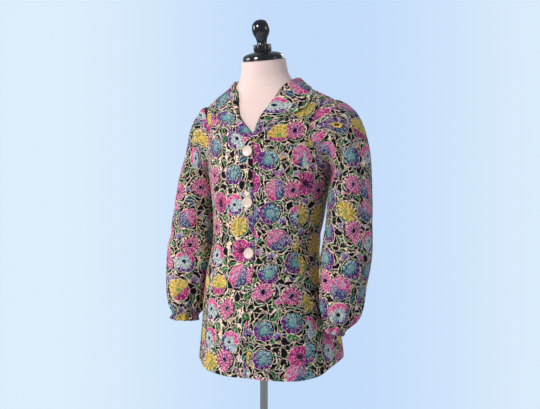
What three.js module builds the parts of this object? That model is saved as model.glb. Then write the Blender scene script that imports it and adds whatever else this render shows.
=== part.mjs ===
import * as THREE from 'three';

// A loose printed blazer, buttoned on a limbless dress form that stands on a pole and a round base.
// Millimetres, +Z up. The front faces -Y and the wearer's left is +X.
// The origin is the middle of the underside of the base, on the axis of the pole.

const clothThickness = 1.4;
const seamGap = 0.3;
const layerGap = 0.5;

// The blazer's outer surface, as level rings: shift is the x of their middle, as the shoulders
// hang a little to the wearer's left, ridge is the y of the side and shoulder line, front and back are the depths before and behind it, and ease is how far inside the form lies.
const bodyRings = [
  { z: 700, shift: 0, halfWidth: 171, ridge: 31, front: 156, back: 154, fullness: 2.1, ease: 24 },
  { z: 770, shift: 0, halfWidth: 166, ridge: 32, front: 153, back: 152, fullness: 2.1, ease: 16 },
  { z: 860, shift: 0, halfWidth: 151, ridge: 33, front: 147, back: 143, fullness: 2.1, ease: 10 },
  { z: 920, shift: 0, halfWidth: 134, ridge: 33, front: 132, back: 127, fullness: 2.1, ease: 9 },
  { z: 1000, shift: 0, halfWidth: 118, ridge: 33, front: 112, back: 111, fullness: 2.1, ease: 9 },
  { z: 1100, shift: 0, halfWidth: 134, ridge: 33, front: 119, back: 117, fullness: 2.1, ease: 9 },
  { z: 1190, shift: 0, halfWidth: 150, ridge: 33, front: 121, back: 120, fullness: 2.1, ease: 8 },
  { z: 1259, shift: 0, halfWidth: 155, ridge: 32, front: 117, back: 117, fullness: 2.05, ease: 6 },
  { z: 1300, shift: 0, halfWidth: 160, ridge: 31, front: 110, back: 110, fullness: 2.05, ease: 5 },
  { z: 1330, shift: 3, halfWidth: 164, ridge: 30, front: 100, back: 97, fullness: 2, ease: 4 },
  { z: 1350, shift: 6, halfWidth: 161, ridge: 28, front: 88, back: 85, fullness: 1.94, ease: 3.2 },
  { z: 1368, shift: 8, halfWidth: 128, ridge: 24, front: 81, back: 74, fullness: 1.94, ease: 3.1 },
  { z: 1385, shift: 6, halfWidth: 94, ridge: 18, front: 75, back: 63, fullness: 2, ease: 3.1 },
  { z: 1400, shift: 2, halfWidth: 72, ridge: 11, front: 67, back: 55, fullness: 2, ease: 3.1 },
];

// Soft folds that hang from the waist and bust: positive heights stand out, negative ones sink in.
const bodyFolds = [
  { turn: -118, spread: 11, height: 4, top: 1010, bottom: 720 },
  { turn: -84, spread: 8, height: -3.5, top: 960, bottom: 720 },
  { turn: -38, spread: 9, height: 3, top: 930, bottom: 700 },
  { turn: 30, spread: 8, height: -2.5, top: 900, bottom: 700 },
  { turn: 47, spread: 7, height: 3.5, top: 980, bottom: 700 },
  { turn: 78, spread: 8, height: -2.5, top: 940, bottom: 710 },
  { turn: 112, spread: 14, height: 8.5, top: 960, bottom: 730 },
  { turn: 141, spread: 10, height: 4.5, top: 1040, bottom: 740 },
  { turn: 178, spread: 12, height: -3, top: 1060, bottom: 740 },
  { turn: 214, spread: 10, height: 4.5, top: 1020, bottom: 740 },
];

// Where the loose cloth stands away from the waist: a wide, soft bulge below the right arm.
const waistBulge = { turn: -64, spread: 26, height: 24, z: 965, tall: 95 };

// The hem dips beside the front edges and rises to the back, sooner on the wearer's right.
const hemLines = {
  left: [
    { turn: 0, z: 722 },
    { turn: 40, z: 716 },
    { turn: 64, z: 722 },
    { turn: 90, z: 744 },
    { turn: 125, z: 759 },
    { turn: 180, z: 768 },
  ],
  right: [
    { turn: 0, z: 722 },
    { turn: 12, z: 722 },
    { turn: 33, z: 729 },
    { turn: 45, z: 739 },
    { turn: 56, z: 749 },
    { turn: 75, z: 757 },
    { turn: 125, z: 765 },
    { turn: 180, z: 768 },
  ],
};
const hemFrontZ = hemLines.left[0].z;
const hemFade = 200;

// Seams, as turns from centre front.
const sideSeamTurn = 90;
const princessSeam = [
  { z: 700, turn: 52 },
  { z: 920, turn: 57 },
  { z: 1000, turn: 58 },
  { z: 1140, turn: 54 },
  { z: 1230, turn: 58 },
  { z: 1262, turn: 64 },
];

// The armhole is an oval round the side line, with a corner every step degrees.
const armhole = { bottomZ: 1203, topZ: 1350, front: 26, back: 24, step: 15 };

// The lap: the right front reaches lapOver past the centre, and the left front lies under it.
const lapOver = 12;
const underlap = 24;
const lapTopZ = 1254;
const lapSlope = 9;
const bustZ = 1100;

// How far the outer surface usually lies from the ridge line, to turn small gaps into angles.
const usualReach = { body: 130, armhole: 150, neck: 100 };

// Collar stations from the point of the V to centre back: where the neckline runs, where the
// outer edge of the fall lies on the body, and how high the collar stands above the neckline.
const collarStations = [
  { along: 0, neckTurn: 4, neckZ: 1259, edgeTurn: 6.5, edgeZ: 1254, stand: 3 },
  { along: 1, neckTurn: 10.5, neckZ: 1285, edgeTurn: 20, edgeZ: 1274, stand: 3.5 },
  { along: 2, neckTurn: 18, neckZ: 1310, edgeTurn: 33, edgeZ: 1295, stand: 4 },
  { along: 3, neckTurn: 26.5, neckZ: 1334, edgeTurn: 46, edgeZ: 1311, stand: 5 },
  { along: 4, neckTurn: 35, neckZ: 1354, edgeTurn: 57, edgeZ: 1324, stand: 6 },
  { along: 5, neckTurn: 44.5, neckZ: 1370, edgeTurn: 67, edgeZ: 1352, stand: 8.5 },
  { along: 6, neckTurn: 60, neckZ: 1383, edgeTurn: 78, edgeZ: 1373, stand: 10 },
  { along: 7, neckTurn: 86, neckZ: 1391, edgeTurn: 91, edgeZ: 1382, stand: 12 },
  { along: 8, neckTurn: 124, neckZ: 1391, edgeTurn: 124, edgeZ: 1377, stand: 15 },
  { along: 9, neckTurn: 180, neckZ: 1391, edgeTurn: 180, edgeZ: 1374, stand: 19 },
];
const collarPerStation = 2;
const fallShares = [1, 0.75, 0.5, 0.28, 0.12, 0];

// The stand turns upright between two turns from the front.
const collarUpright = { from: 40, to: 110, share: 0.6 };
const collarShift = { left: 3, right: 8, fade: 55 };
const collarClear = 1.25;
const collarRoll = 1.8;

// Sleeve rings from the armhole to the wrist, for the left side: the outermost and innermost
// points of each ring, the y of its middle, half its depth, and the height of its gathers.
const sleeveRings = [
  { down: 1, outX: 175, outZ: 1349.5, inX: 153.6, inZ: 1204, y: 36, depth: 64.5, cap: 1.4, wrist: 0 },
  { down: 2, outX: 194, outZ: 1338, inX: 156.6, inZ: 1199, y: 42, depth: 66, cap: 1.8, wrist: 0 },
  { down: 3, outX: 215, outZ: 1316, inX: 157.5, inZ: 1190, y: 50, depth: 66, cap: 1.2, wrist: 0 },
  { down: 4, outX: 230, outZ: 1276, inX: 156, inZ: 1177, y: 54, depth: 65, cap: 0.4, wrist: 0 },
  { down: 5, outX: 240, outZ: 1226, inX: 153.5, inZ: 1156, y: 53, depth: 63, cap: 0, wrist: 0 },
  { down: 6, outX: 246, outZ: 1170, inX: 151, inZ: 1126, y: 42, depth: 62, cap: 0, wrist: 0 },
  { down: 7, outX: 250, outZ: 1110, inX: 150.5, inZ: 1088, y: 31, depth: 63, cap: 0, wrist: 0 },
  { down: 8, outX: 254, outZ: 1046, inX: 149.5, inZ: 1036, y: 20, depth: 65, cap: 0, wrist: 0 },
  { down: 9, outX: 256, outZ: 984, inX: 142.5, inZ: 980, y: 10, depth: 68, cap: 0, wrist: 0 },
  { down: 10, outX: 248, outZ: 920, inX: 149, inZ: 917, y: -5, depth: 66, cap: 0, wrist: 1 },
  { down: 11, outX: 239, outZ: 872, inX: 155, inZ: 871, y: -12, depth: 60, cap: 0, wrist: 2.4 },
  { down: 12, outX: 231, outZ: 845, inX: 162, inZ: 843, y: -16, depth: 50, cap: 0, wrist: 3.6 },
  { down: 13, outX: 225, outZ: 828, inX: 170, inZ: 826, y: -18, depth: 37, cap: 0, wrist: 3.2 },
  { down: 14, outX: 227, outZ: 815, inX: 168, inZ: 813, y: -19, depth: 40, cap: 0, wrist: 4 },
];
const sleeveFolds = [
  { angle: 35, spread: 16, height: -4, top: 4, bottom: 9 },
  { angle: 78, spread: 14, height: 3.5, top: 3, bottom: 8 },
  { angle: 128, spread: 15, height: -4, top: 5, bottom: 11 },
  { angle: 205, spread: 18, height: 3, top: 6, bottom: 11 },
  { angle: 262, spread: 15, height: -4.5, top: 4, bottom: 10 },
  { angle: 318, spread: 14, height: 3.5, top: 5, bottom: 10 },
];
const sleeveColumns = 48;
const sleeveWaves = 12;
const sleeveFullness = 2.1;

// How each sleeve differs from the table: its cap moved in, and its wrist lifted, tilted, moved
// out and made slimmer.
const sleeves = [
  { name: 'sleeve_left', side: 1, capIn: 0, wristLift: 8, wristTilt: -10, wristOut: -18.5, wristSlim: 0.22 },
  { name: 'sleeve_right', side: -1, capIn: 12, wristLift: 22, wristTilt: 2, wristOut: 5, wristSlim: 0 },
];

const buttonRadius = 12.7;
const buttonHeights = [1230, 1113, 997];
const buttonLift = 0.45;

// The form: cloth-covered torso from formBottomZ to the neck, whose top leans forward.
const formBottomZ = 812;
const formColumns = 28;
const neckLean = 12;
const neckRings = [
  { y: 8, z: 1396, halfWidth: 67, halfDepth: 52.5, tilt: 3 },
  { y: 5, z: 1409, halfWidth: 59.5, halfDepth: 53, tilt: 6 },
  { y: 1.5, z: 1428, halfWidth: 55, halfDepth: 52.5, tilt: 9 },
  { y: -3, z: 1450, halfWidth: 52.5, halfDepth: 52, tilt: neckLean },
];
const neckTop = { y: -3, z: 1450 };
const capRadius = 49;
const nut = { radius: 21.5, height: 18, sides: 10, bottom: 19.6 };
const knobBottom = 37.3;

const poleRadius = 9;
const poleTopZ = 868;
const socketClear = 0.4;
const socketDepth = 60;
const base = { radius: 170, rim: 7, middle: 15, bossRadius: 24, bossTop: 62, socketFloor: 12 };

const print = new THREE.MeshStandardMaterial({ color: 0x8c5c78, roughness: 0.75, metalness: 0 });
const jersey = new THREE.MeshStandardMaterial({ color: 0xf3d9d2, roughness: 0.85, metalness: 0 });
const ivory = new THREE.MeshStandardMaterial({ color: 0xf0e4d4, roughness: 0.3, metalness: 0 });
const gloss = new THREE.MeshStandardMaterial({ color: 0x0d0c0e, roughness: 0.15, metalness: 0 });
const chrome = new THREE.MeshStandardMaterial({ color: 0xc9c4ba, roughness: 0.12, metalness: 1 });
const enamel = new THREE.MeshStandardMaterial({ color: 0x15141a, roughness: 0.4, metalness: 0.3 });

const { clamp, degToRad, lerp, radToDeg, smoothstep } = THREE.MathUtils;

// Every column of a table at one place, on a smooth curve through its rows.
function readTable(rows, key, place) {
  const last = rows.length - 1;
  let i = 0;
  while (i < last - 1 && place > rows[i + 1][key]) i += 1;
  const before = rows[Math.max(i - 1, 0)];
  const [from, to] = [rows[i], rows[i + 1]];
  const after = rows[Math.min(i + 2, last)];
  const span = to[key] - from[key];
  const f = clamp((place - from[key]) / span, 0, 1);
  const values = {};
  for (const column of Object.keys(from)) {
    const slopeFrom = (span * (to[column] - before[column])) / (to[key] - before[key]);
    const slopeTo = (span * (after[column] - from[column])) / (after[key] - from[key]);
    const rise = to[column] - from[column];
    values[column] = from[column] + f * slopeFrom
      + f * f * (3 * rise - 2 * slopeFrom - slopeTo)
      + f * f * f * (slopeFrom + slopeTo - 2 * rise);
  }
  return values;
}

// How far the folds lift the surface at a turn or angle and a place along their length.
function foldHeight(folds, angle, angleKey, place) {
  let height = 0;
  for (const fold of folds) {
    const away = ((angle - fold[angleKey] + 540) % 360) - 180;
    const [low, high] = [Math.min(fold.top, fold.bottom), Math.max(fold.top, fold.bottom)];
    const across = Math.exp(-((away / fold.spread) ** 2));
    const reach = fold.bottom < fold.top
      ? 1 - smoothstep(place, low + (high - low) * 0.3, high)
      : Math.sin(Math.PI * clamp((place - low) / (high - low), 0, 1)) ** 0.7;
    height += fold.height * across * reach;
  }
  return height;
}

// Distance from the ridge line to an oval, whose arms are wide and deep, in one direction.
function ovalReach(sine, cosine, wide, deep, fullness) {
  return ((Math.abs(sine) / wide) ** fullness + (Math.abs(cosine) / deep) ** fullness) ** (-1 / fullness);
}

function bulgeHeight({ turn, spread, height, z, tall }, atTurn, atZ) {
  const away = ((atTurn - turn + 540) % 360) - 180;
  return height * Math.exp(-((away / spread) ** 2) - ((atZ - z) / tall) ** 2);
}

function ringPoint(turn, z) {
  const ring = readTable(bodyRings, 'z', z);
  const [sine, cosine] = [Math.sin(degToRad(turn)), Math.cos(degToRad(turn))];
  const deep = cosine > 0 ? ring.front : ring.back;
  const reach = ovalReach(sine, cosine, ring.halfWidth, deep, ring.fullness)
    + foldHeight(bodyFolds, turn, 'turn', z) + bulgeHeight(waistBulge, turn, z);
  return new THREE.Vector3(ring.shift + reach * sine, ring.ridge - reach * cosine, z);
}

// The same direction as an angle of the ring's oval, where even steps suit its curve, and back.
function ovalAngle(turn, z) {
  const ring = readTable(bodyRings, 'z', z);
  const [sine, cosine] = [Math.sin(degToRad(turn)), Math.cos(degToRad(turn))];
  const deep = cosine > 0 ? ring.front : ring.back;
  const angle = radToDeg(Math.atan2(sine / ring.halfWidth, cosine / deep));
  return angle + 360 * Math.round((turn - angle) / 360);
}

function turnFromOval(angle, z) {
  const ring = readTable(bodyRings, 'z', z);
  const [sine, cosine] = [Math.sin(degToRad(angle)), Math.cos(degToRad(angle))];
  const deep = cosine > 0 ? ring.front : ring.back;
  const turn = radToDeg(Math.atan2(sine * ring.halfWidth, cosine * deep));
  return turn + 360 * Math.round((angle - turn) / 360);
}

// A point of the body surface, moved out along its normal.
function onBody(turn, z, out = 0) {
  const step = 0.5;
  const along = ringPoint(turn + step, z).sub(ringPoint(turn - step, z));
  const up = ringPoint(turn, z + step).sub(ringPoint(turn, z - step));
  return ringPoint(turn, z).addScaledVector(along.cross(up).normalize(), out);
}

// The turn that a distance along the cloth makes, near the front.
function turnOf(distance, z) {
  const ring = readTable(bodyRings, 'z', z);
  return radToDeg(distance / ring.front);
}

// The rows above the hem follow its line less and less.
function hemLift(turn, z) {
  const fromFront = turn > 180 ? 360 - turn : Math.abs(turn);
  const hemLine = turn < 0 || turn > 180 ? hemLines.right : hemLines.left;
  const rise = readTable(hemLine, 'turn', fromFront).z - hemFrontZ;
  return rise * (1 - smoothstep(z, hemFrontZ, hemFrontZ + hemFade));
}

function closedGeometry(points, faces) {
  const volume = faces.reduce((sum, corner, i) => {
    if (i % 3) return sum;
    const [a, b, c] = [points[faces[i]], points[faces[i + 1]], points[faces[i + 2]]];
    return sum + a.dot(b.clone().cross(c));
  }, 0);
  if (volume < 0) faces.reverse();
  const geometry = new THREE.BufferGeometry().setFromPoints(points);
  geometry.setIndex(faces);
  geometry.computeVertexNormals();
  return geometry;
}

// A wall between an outer and an inner grid of points, closed at its edges or round a loop.
function wallBetween(outer, inner, loop = false) {
  const [rows, columns] = [outer.length, outer[0].length];
  const points = [...outer.flat(), ...inner.flat()];
  const out = (r, c) => r * columns + (c % columns);
  const back = (r, c) => rows * columns + out(r, c);
  const faces = [];
  const quad = (a, b, c, d) => faces.push(a, b, c, a, c, d);
  const across = loop ? columns : columns - 1;
  const top = rows - 1;
  for (let c = 0; c < across; c += 1) {
    for (let r = 0; r < top; r += 1) {
      quad(out(r, c), out(r, c + 1), out(r + 1, c + 1), out(r + 1, c));
      quad(back(r, c), back(r + 1, c), back(r + 1, c + 1), back(r, c + 1));
    }
    quad(out(0, c + 1), out(0, c), back(0, c), back(0, c + 1));
    quad(out(top, c), out(top, c + 1), back(top, c + 1), back(top, c));
  }
  for (let r = 0; r < top && !loop; r += 1) {
    quad(out(r, 0), out(r + 1, 0), back(r + 1, 0), back(r, 0));
    quad(out(r + 1, across), out(r, across), back(r, across), back(r + 1, across));
  }
  return closedGeometry(points, faces);
}

// The inner grid of a wall whose outer grid is given, one cloth thickness behind it.
function insideOf(outer, loop, sign) {
  const [rows, columns] = [outer.length, outer[0].length];
  return outer.map((row, r) => row.map((point, c) => {
    const next = loop ? (c + 1) % columns : Math.min(c + 1, columns - 1);
    const previous = loop ? (c + columns - 1) % columns : Math.max(c - 1, 0);
    const across = row[next].clone().sub(row[previous]);
    const along = outer[Math.min(r + 1, rows - 1)][c].clone().sub(outer[Math.max(r - 1, 0)][c]);
    return point.clone().addScaledVector(across.cross(along).normalize(), -sign * clothThickness);
  }));
}

// A solid through rings with the same number of points, closed by a fan at each end.
function solidThrough(rings) {
  const count = rings[0].length;
  const points = rings.flat();
  const faces = [];
  for (let r = 0; r + 1 < rings.length; r += 1) {
    for (let c = 0; c < count; c += 1) {
      const [a, b] = [r * count + c, r * count + ((c + 1) % count)];
      faces.push(a, b, b + count, a, b + count, a + count);
    }
  }
  for (const ring of [0, rings.length - 1]) {
    const middle = rings[ring].reduce((sum, p) => sum.add(p), new THREE.Vector3()).divideScalar(count);
    points.push(middle);
    for (let c = 0; c < count; c += 1) {
      const [a, b] = [ring * count + c, ring * count + ((c + 1) % count)];
      faces.push(...(ring === 0 ? [b, a, points.length - 1] : [a, b, points.length - 1]));
    }
  }
  return closedGeometry(points, faces);
}

// A turned shape about +Z from [radius, height] pairs that start and end on the axis.
function turned(profile, segments) {
  const outline = profile.map(([radius, height]) => new THREE.Vector2(radius, height));
  return new THREE.LatheGeometry(outline, segments).rotateX(Math.PI / 2);
}

const garment = new THREE.Group();
const stand = new THREE.Group();
const blazerOnForm = new THREE.Group();
blazerOnForm.add(garment, stand);

function addPiece(group, name, geometry, material) {
  const piece = new THREE.Mesh(geometry, material);
  piece.name = name;
  group.add(piece);
  return piece;
}

// Heights of the rows of the body panels: even below the armhole, at its corners beside it,
// and even again up the shoulder.
const lowerRows = 14;
const shoulderRows = 4;
const neckSideZ = collarStations[7].neckZ;
const armholeMiddleZ = (armhole.topZ + armhole.bottomZ) / 2;
const armholeHalf = (armhole.topZ - armhole.bottomZ) / 2;
const rowHeights = [];
for (let i = 0; i < lowerRows; i += 1) {
  rowHeights.push(lerp(hemFrontZ, armhole.bottomZ, i / lowerRows));
}
for (let angle = 180; angle >= 0; angle -= armhole.step) {
  rowHeights.push(armholeMiddleZ + armholeHalf * Math.cos(degToRad(angle)));
}
for (let i = 1; i <= shoulderRows; i += 1) {
  rowHeights.push(lerp(armhole.topZ, neckSideZ, i / shoulderRows));
}

// How far the armhole reaches from the side line at a height, as a share of its width.
function armholeShare(z) {
  const rise = clamp((z - armholeMiddleZ) / armholeHalf, -1, 1);
  return Math.sqrt(1 - rise * rise);
}

// How far the lap carries the neckline and collar of one side round, less and less up the V.
function lapShift(z, side) {
  const shift = side > 0 ? collarShift.left : -collarShift.right;
  const [{ neckZ: from }] = collarStations;
  return shift * (1 - smoothstep(z, from, from + collarShift.fade));
}

// The neckline of one side, as a turn from centre front at a height.
function neckTurnAt(z, side) {
  return readTable(collarStations.slice(0, 8), 'neckZ', z).neckTurn + lapShift(z, side);
}

// A panel between two boundaries, each given as a turn at a height.
function panelWall(heights, leftTurn, rightTurn, columns, sink = () => 0) {
  const gapTurn = radToDeg(seamGap / 2 / usualReach.body);
  const grids = [0, -clothThickness].map((out) => heights.map((z) => {
    const left = ovalAngle(leftTurn(z) + gapTurn, z);
    const right = ovalAngle(rightTurn(z) - gapTurn, z);
    return Array.from({ length: columns + 1 }, (_, c) => {
      const turn = turnFromOval(lerp(left, right, c / columns), z);
      return onBody(turn, z + hemLift(turn, z), out - sink(turn));
    });
  }));
  return wallBetween(...grids);
}

function princessTurn(z) {
  return readTable(princessSeam, 'z', z).turn;
}

const princessTopZ = princessSeam[princessSeam.length - 1].z;

function frontArmholeTurn(z) {
  return sideSeamTurn - armhole.front * armholeShare(z);
}

// The outer boundary of a front panel: the princess seam, then the armhole, then the shoulder.
function frontOuterTurn(z) {
  if (z <= princessTopZ) return princessTurn(z);
  return z < armhole.topZ ? frontArmholeTurn(z) : sideSeamTurn;
}

// The neck edge keeps clear of the collar's stand.
const neckEdgeGap = 0.9;
function frontNeckTurn(z, side) {
  return neckTurnAt(z, side) + radToDeg(neckEdgeGap / usualReach.neck);
}

// The left front sinks under the lap, and comes up again beside it.
function underLap(turn) {
  const lapTurn = turnOf(lapOver, bustZ);
  return (clothThickness + layerGap) * (1 - smoothstep(turn, lapTurn + 1, lapTurn + lapSlope));
}

const frontColumns = 7;
addPiece(garment, 'front_left', panelWall(
  rowHeights,
  (z) => (z < lapTopZ ? -turnOf(underlap, z) : frontNeckTurn(z, 1)),
  frontOuterTurn,
  frontColumns,
  underLap,
), print);
addPiece(garment, 'front_right', panelWall(
  rowHeights,
  (z) => -frontOuterTurn(z),
  (z) => (z < lapTopZ ? turnOf(lapOver, z) : -frontNeckTurn(z, -1)),
  frontColumns,
), print);

const sideHeights = rowHeights.filter((z) => z < princessTopZ - 4);
const sideColumns = 5;
function sideOuterTurn(z) {
  return z <= armhole.bottomZ ? sideSeamTurn : frontArmholeTurn(z);
}
addPiece(garment, 'side_front_left', panelWall(sideHeights, princessTurn, sideOuterTurn, sideColumns), print);
addPiece(garment, 'side_front_right', panelWall(
  sideHeights,
  (z) => -sideOuterTurn(z),
  (z) => -princessTurn(z),
  sideColumns,
), print);

function backTurn(z) {
  const open = z > armhole.bottomZ && z < armhole.topZ;
  return sideSeamTurn + (open ? armhole.back * armholeShare(z) : 0);
}
const backColumns = 14;
addPiece(garment, 'back', panelWall(rowHeights, backTurn, (z) => 360 - backTurn(z), backColumns), print);

// The corners of the sleeve's seam, which lies just inside the armhole's edge.
const sleeveSeamGap = 0.7;
function sleeveSeam(angle) {
  const corner = (degrees) => {
    const sine = Math.sin(degToRad(degrees));
    const width = (sine > 0 ? armhole.front : armhole.back) - radToDeg(sleeveSeamGap / usualReach.armhole);
    const z = armholeMiddleZ + (armholeHalf - sleeveSeamGap) * Math.cos(degToRad(degrees));
    return onBody(sideSeamTurn - width * sine, z);
  };
  const from = Math.floor(angle / armhole.step) * armhole.step;
  return corner(from).lerp(corner(from + armhole.step), (angle - from) / armhole.step);
}

// Angle 0 is the top or outer side of a sleeve, and 90 its front.
function sleevePoint(angle, down, sleeve) {
  const ring = readTable(sleeveRings, 'down', down);
  const [sine, cosine] = [Math.sin(degToRad(angle)), Math.cos(degToRad(angle))];
  const low = smoothstep(down, 9, 13);
  const end = smoothstep(down, 11.5, 14);
  const outward = new THREE.Vector3(ring.outX - ring.inX, 0, ring.outZ - ring.inZ).multiplyScalar(0.5);
  const middle = new THREE.Vector3((ring.outX + ring.inX) / 2, ring.y, (ring.outZ + ring.inZ) / 2);
  middle.x += sleeve.wristOut * end;
  const slim = 1 - sleeve.wristSlim * end;
  const capShare = Math.max(cosine, 0) ** 0.7;
  const gather = Math.cos(degToRad(angle * sleeveWaves)) * (ring.cap * capShare + ring.wrist * slim)
    + foldHeight(sleeveFolds, angle, 'angle', down);
  const reach = ovalReach(cosine, sine, outward.length() * slim, ring.depth * slim, sleeveFullness) + gather;
  const point = middle.addScaledVector(outward.normalize(), reach * cosine);
  point.y -= reach * sine;
  point.z += low * (sleeve.wristLift + sleeve.wristTilt * cosine);
  point.x -= sleeve.capIn * (1 + cosine) / 2 * smoothstep(down, 0.5, 2) * (1 - smoothstep(down, 4, 6));
  return point;
}

for (const sleeve of sleeves) {
  const angles = Array.from({ length: sleeveColumns }, (_, c) => (360 * c) / sleeveColumns);
  const rows = [angles.map(sleeveSeam)];
  for (const { down } of sleeveRings) rows.push(angles.map((angle) => sleevePoint(angle, down, sleeve)));
  const outer = rows.map((row) => row.map((p) => new THREE.Vector3(sleeve.side * p.x, p.y, p.z)));
  addPiece(garment, sleeve.name, wallBetween(outer, insideOf(outer, true, sleeve.side), true), print);
}

// One station of the collar, from the outer edge of the fall, over the roll and down the stand.
function collarSection(along, side) {
  const row = readTable(collarStations, 'along', along);
  const neckTurn = row.neckTurn + lapShift(row.neckZ, side);
  const edgeTurn = row.edgeTurn + lapShift(row.neckZ, side);
  const onFall = (share, out) => onBody(
    side * lerp(neckTurn, edgeTurn, share),
    lerp(row.neckZ, row.edgeZ, share),
    out,
  );
  const seam = onFall(0, 0);
  const away = onFall(0.05, 0).sub(seam).normalize();
  const normal = onFall(0, 1).sub(seam);
  const backLean = 1 - collarUpright.share * smoothstep(neckTurn, collarUpright.from, collarUpright.to);
  const up = new THREE.Vector3(0, 0, 1).lerp(away.clone().negate(), backLean).normalize();
  const lift = up.clone().multiplyScalar(row.stand);
  const section = fallShares.map((share) => onFall(share, collarClear + clothThickness)
    .addScaledVector(lift, (1 - share) ** 1.3));
  const rim = section[section.length - 1];
  const foot = seam.clone().addScaledVector(away, -neckEdgeGap / 2);
  const inward = foot.clone().add(lift);
  for (const [start, rise, back] of [[rim, 0.75, 0.35], [inward, 0.75, 0.7], [inward, 0, 1], [foot, 0, 0.5]]) {
    section.push(start.clone().addScaledVector(up, collarRoll * rise).addScaledVector(normal, -collarRoll * back));
  }
  return section;
}

const collarCount = (collarStations.length - 1) * collarPerStation;
const collarRows = [];
for (let i = -collarCount; i <= collarCount; i += 1) {
  const side = i < 0 ? 1 : -1;
  collarRows.push(collarSection((collarCount - Math.abs(i)) / collarPerStation, side));
}
addPiece(garment, 'collar', wallBetween(collarRows, insideOf(collarRows, false, 1)), print);

const buttonProfile = [
  [0, 0], [4.5, 0], [buttonRadius - 1.6, 1], [buttonRadius, 2.6], [buttonRadius - 0.5, 4],
  [buttonRadius - 2.2, 4.6], [buttonRadius - 4, 3.9], [0, 3.7],
];
buttonHeights.forEach((z, i) => {
  const button = addPiece(garment, `button_${i + 1}`, turned(buttonProfile, 20), ivory);
  const facing = onBody(0, z, 1).sub(onBody(0, z));
  button.position.copy(onBody(0, z, buttonLift));
  button.quaternion.setFromUnitVectors(new THREE.Vector3(0, 0, 1), facing.normalize());
});

const formHeights = [
  formBottomZ, 840, 880, 920, 960, 1000, 1050, 1100, 1150, 1195, 1235, 1270, 1300, 1322, 1338, 1350,
  1359, 1368, 1377, 1386,
];
const formTurns = Array.from({ length: formColumns }, (_, c) => (360 * c) / formColumns);

function levelCircle(radius, z) {
  return formTurns.map((turn) => new THREE.Vector3(
    radius * Math.sin(degToRad(turn)),
    -radius * Math.cos(degToRad(turn)),
    z,
  ));
}

// The torso lies inside the blazer by the ring table's ease. That is measured square to the
// surface, so a ring shrinks more sideways where the shoulder slopes.
const shoulderSlope = { from: 1335, to: 1352, extra: 1.9 };
function formTorsoRing(z) {
  const ring = readTable(bodyRings, 'z', z);
  const sideways = 1 + shoulderSlope.extra * smoothstep(z, shoulderSlope.from, shoulderSlope.to);
  return formTurns.map((angle) => {
    const turn = turnFromOval(angle, z);
    const [sine, cosine] = [Math.sin(degToRad(turn)), Math.cos(degToRad(turn))];
    const deep = (cosine > 0 ? ring.front : ring.back) - ring.ease;
    const reach = ovalReach(sine, cosine, ring.halfWidth - ring.ease * sideways, deep, ring.fullness);
    return new THREE.Vector3(ring.shift + reach * sine, ring.ridge - reach * cosine, z);
  });
}

function neckRing({ y, z, halfWidth, halfDepth, tilt }) {
  return formTurns.map((turn) => {
    const forward = halfDepth * Math.cos(degToRad(turn));
    return new THREE.Vector3(
      halfWidth * Math.sin(degToRad(turn)),
      y - forward * Math.cos(degToRad(tilt)),
      z - forward * Math.sin(degToRad(tilt)),
    );
  });
}

const socketRadius = poleRadius + socketClear;
addPiece(stand, 'form_body', solidThrough([
  levelCircle(socketRadius, formBottomZ + socketDepth),
  levelCircle(socketRadius, formBottomZ),
  ...formHeights.map(formTorsoRing),
  ...neckRings.map(neckRing),
]), jersey);

// What sits on the neck leans with it.
const neckParts = new THREE.Group();
neckParts.position.set(0, neckTop.y, neckTop.z);
neckParts.rotation.x = degToRad(neckLean);
stand.add(neckParts);

const capProfile = [
  [0, seamGap], [capRadius, seamGap], [capRadius, 5], [capRadius - 1.8, 10], [capRadius - 7, 14.2],
  [capRadius - 15, 17], [capRadius - 25, 18.8], [nut.radius, nut.bottom - seamGap], [0, nut.bottom - seamGap],
];
addPiece(neckParts, 'neck_cap', turned(capProfile, 32), gloss);

const nutOutline = new THREE.Shape(Array.from({ length: nut.sides }, (_, i) => {
  const angle = (2 * Math.PI * i) / nut.sides;
  return new THREE.Vector2((nut.radius - 2) * Math.cos(angle), (nut.radius - 2) * Math.sin(angle));
}));
const nutBevel = 2;
const nutSolid = new THREE.ExtrudeGeometry(nutOutline, {
  depth: knobBottom - nut.bottom - 2 * nutBevel - 2 * seamGap,
  bevelThickness: nutBevel,
  bevelSize: nutBevel,
  bevelSegments: 2,
});
addPiece(neckParts, 'neck_nut', nutSolid.translate(0, 0, nut.bottom + nutBevel), gloss);

const knobCurve = new THREE.CatmullRomCurve3([
  [12.5, 0], [11.8, 5], [14, 14], [19.2, 25], [21, 36], [18.6, 47], [11.5, 54.5], [4, 57],
].map(([radius, height]) => new THREE.Vector3(radius, height, 0)));
const knobProfile = [[0, 0], ...knobCurve.getPoints(10).map((p) => [p.x, p.y]), [0, 57.4]];
addPiece(neckParts, 'neck_knob', turned(knobProfile, 20).translate(0, 0, knobBottom), gloss);

const poleProfile = [
  [0, base.socketFloor + seamGap], [poleRadius, base.socketFloor + seamGap], [poleRadius, poleTopZ], [0, poleTopZ],
];
addPiece(stand, 'pole', turned(poleProfile, 24), chrome);

const baseProfile = [
  [0, 0], [base.radius - 1.5, 0], [base.radius, 2], [base.radius, base.rim], [base.radius - 6, base.rim + 3],
  [base.bossRadius + 26, base.middle], [base.bossRadius + 4, base.middle + 3], [base.bossRadius, base.middle + 8],
  [base.bossRadius - 4, base.bossTop - 2], [base.bossRadius - 6, base.bossTop],
  [socketRadius, base.bossTop], [socketRadius, base.socketFloor], [0, base.socketFloor],
];
addPiece(stand, 'base', turned(baseProfile, 44), enamel);

export default blazerOnForm;
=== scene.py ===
import math

import bpy
import numpy as np
from mathutils import Matrix, Vector


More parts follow.
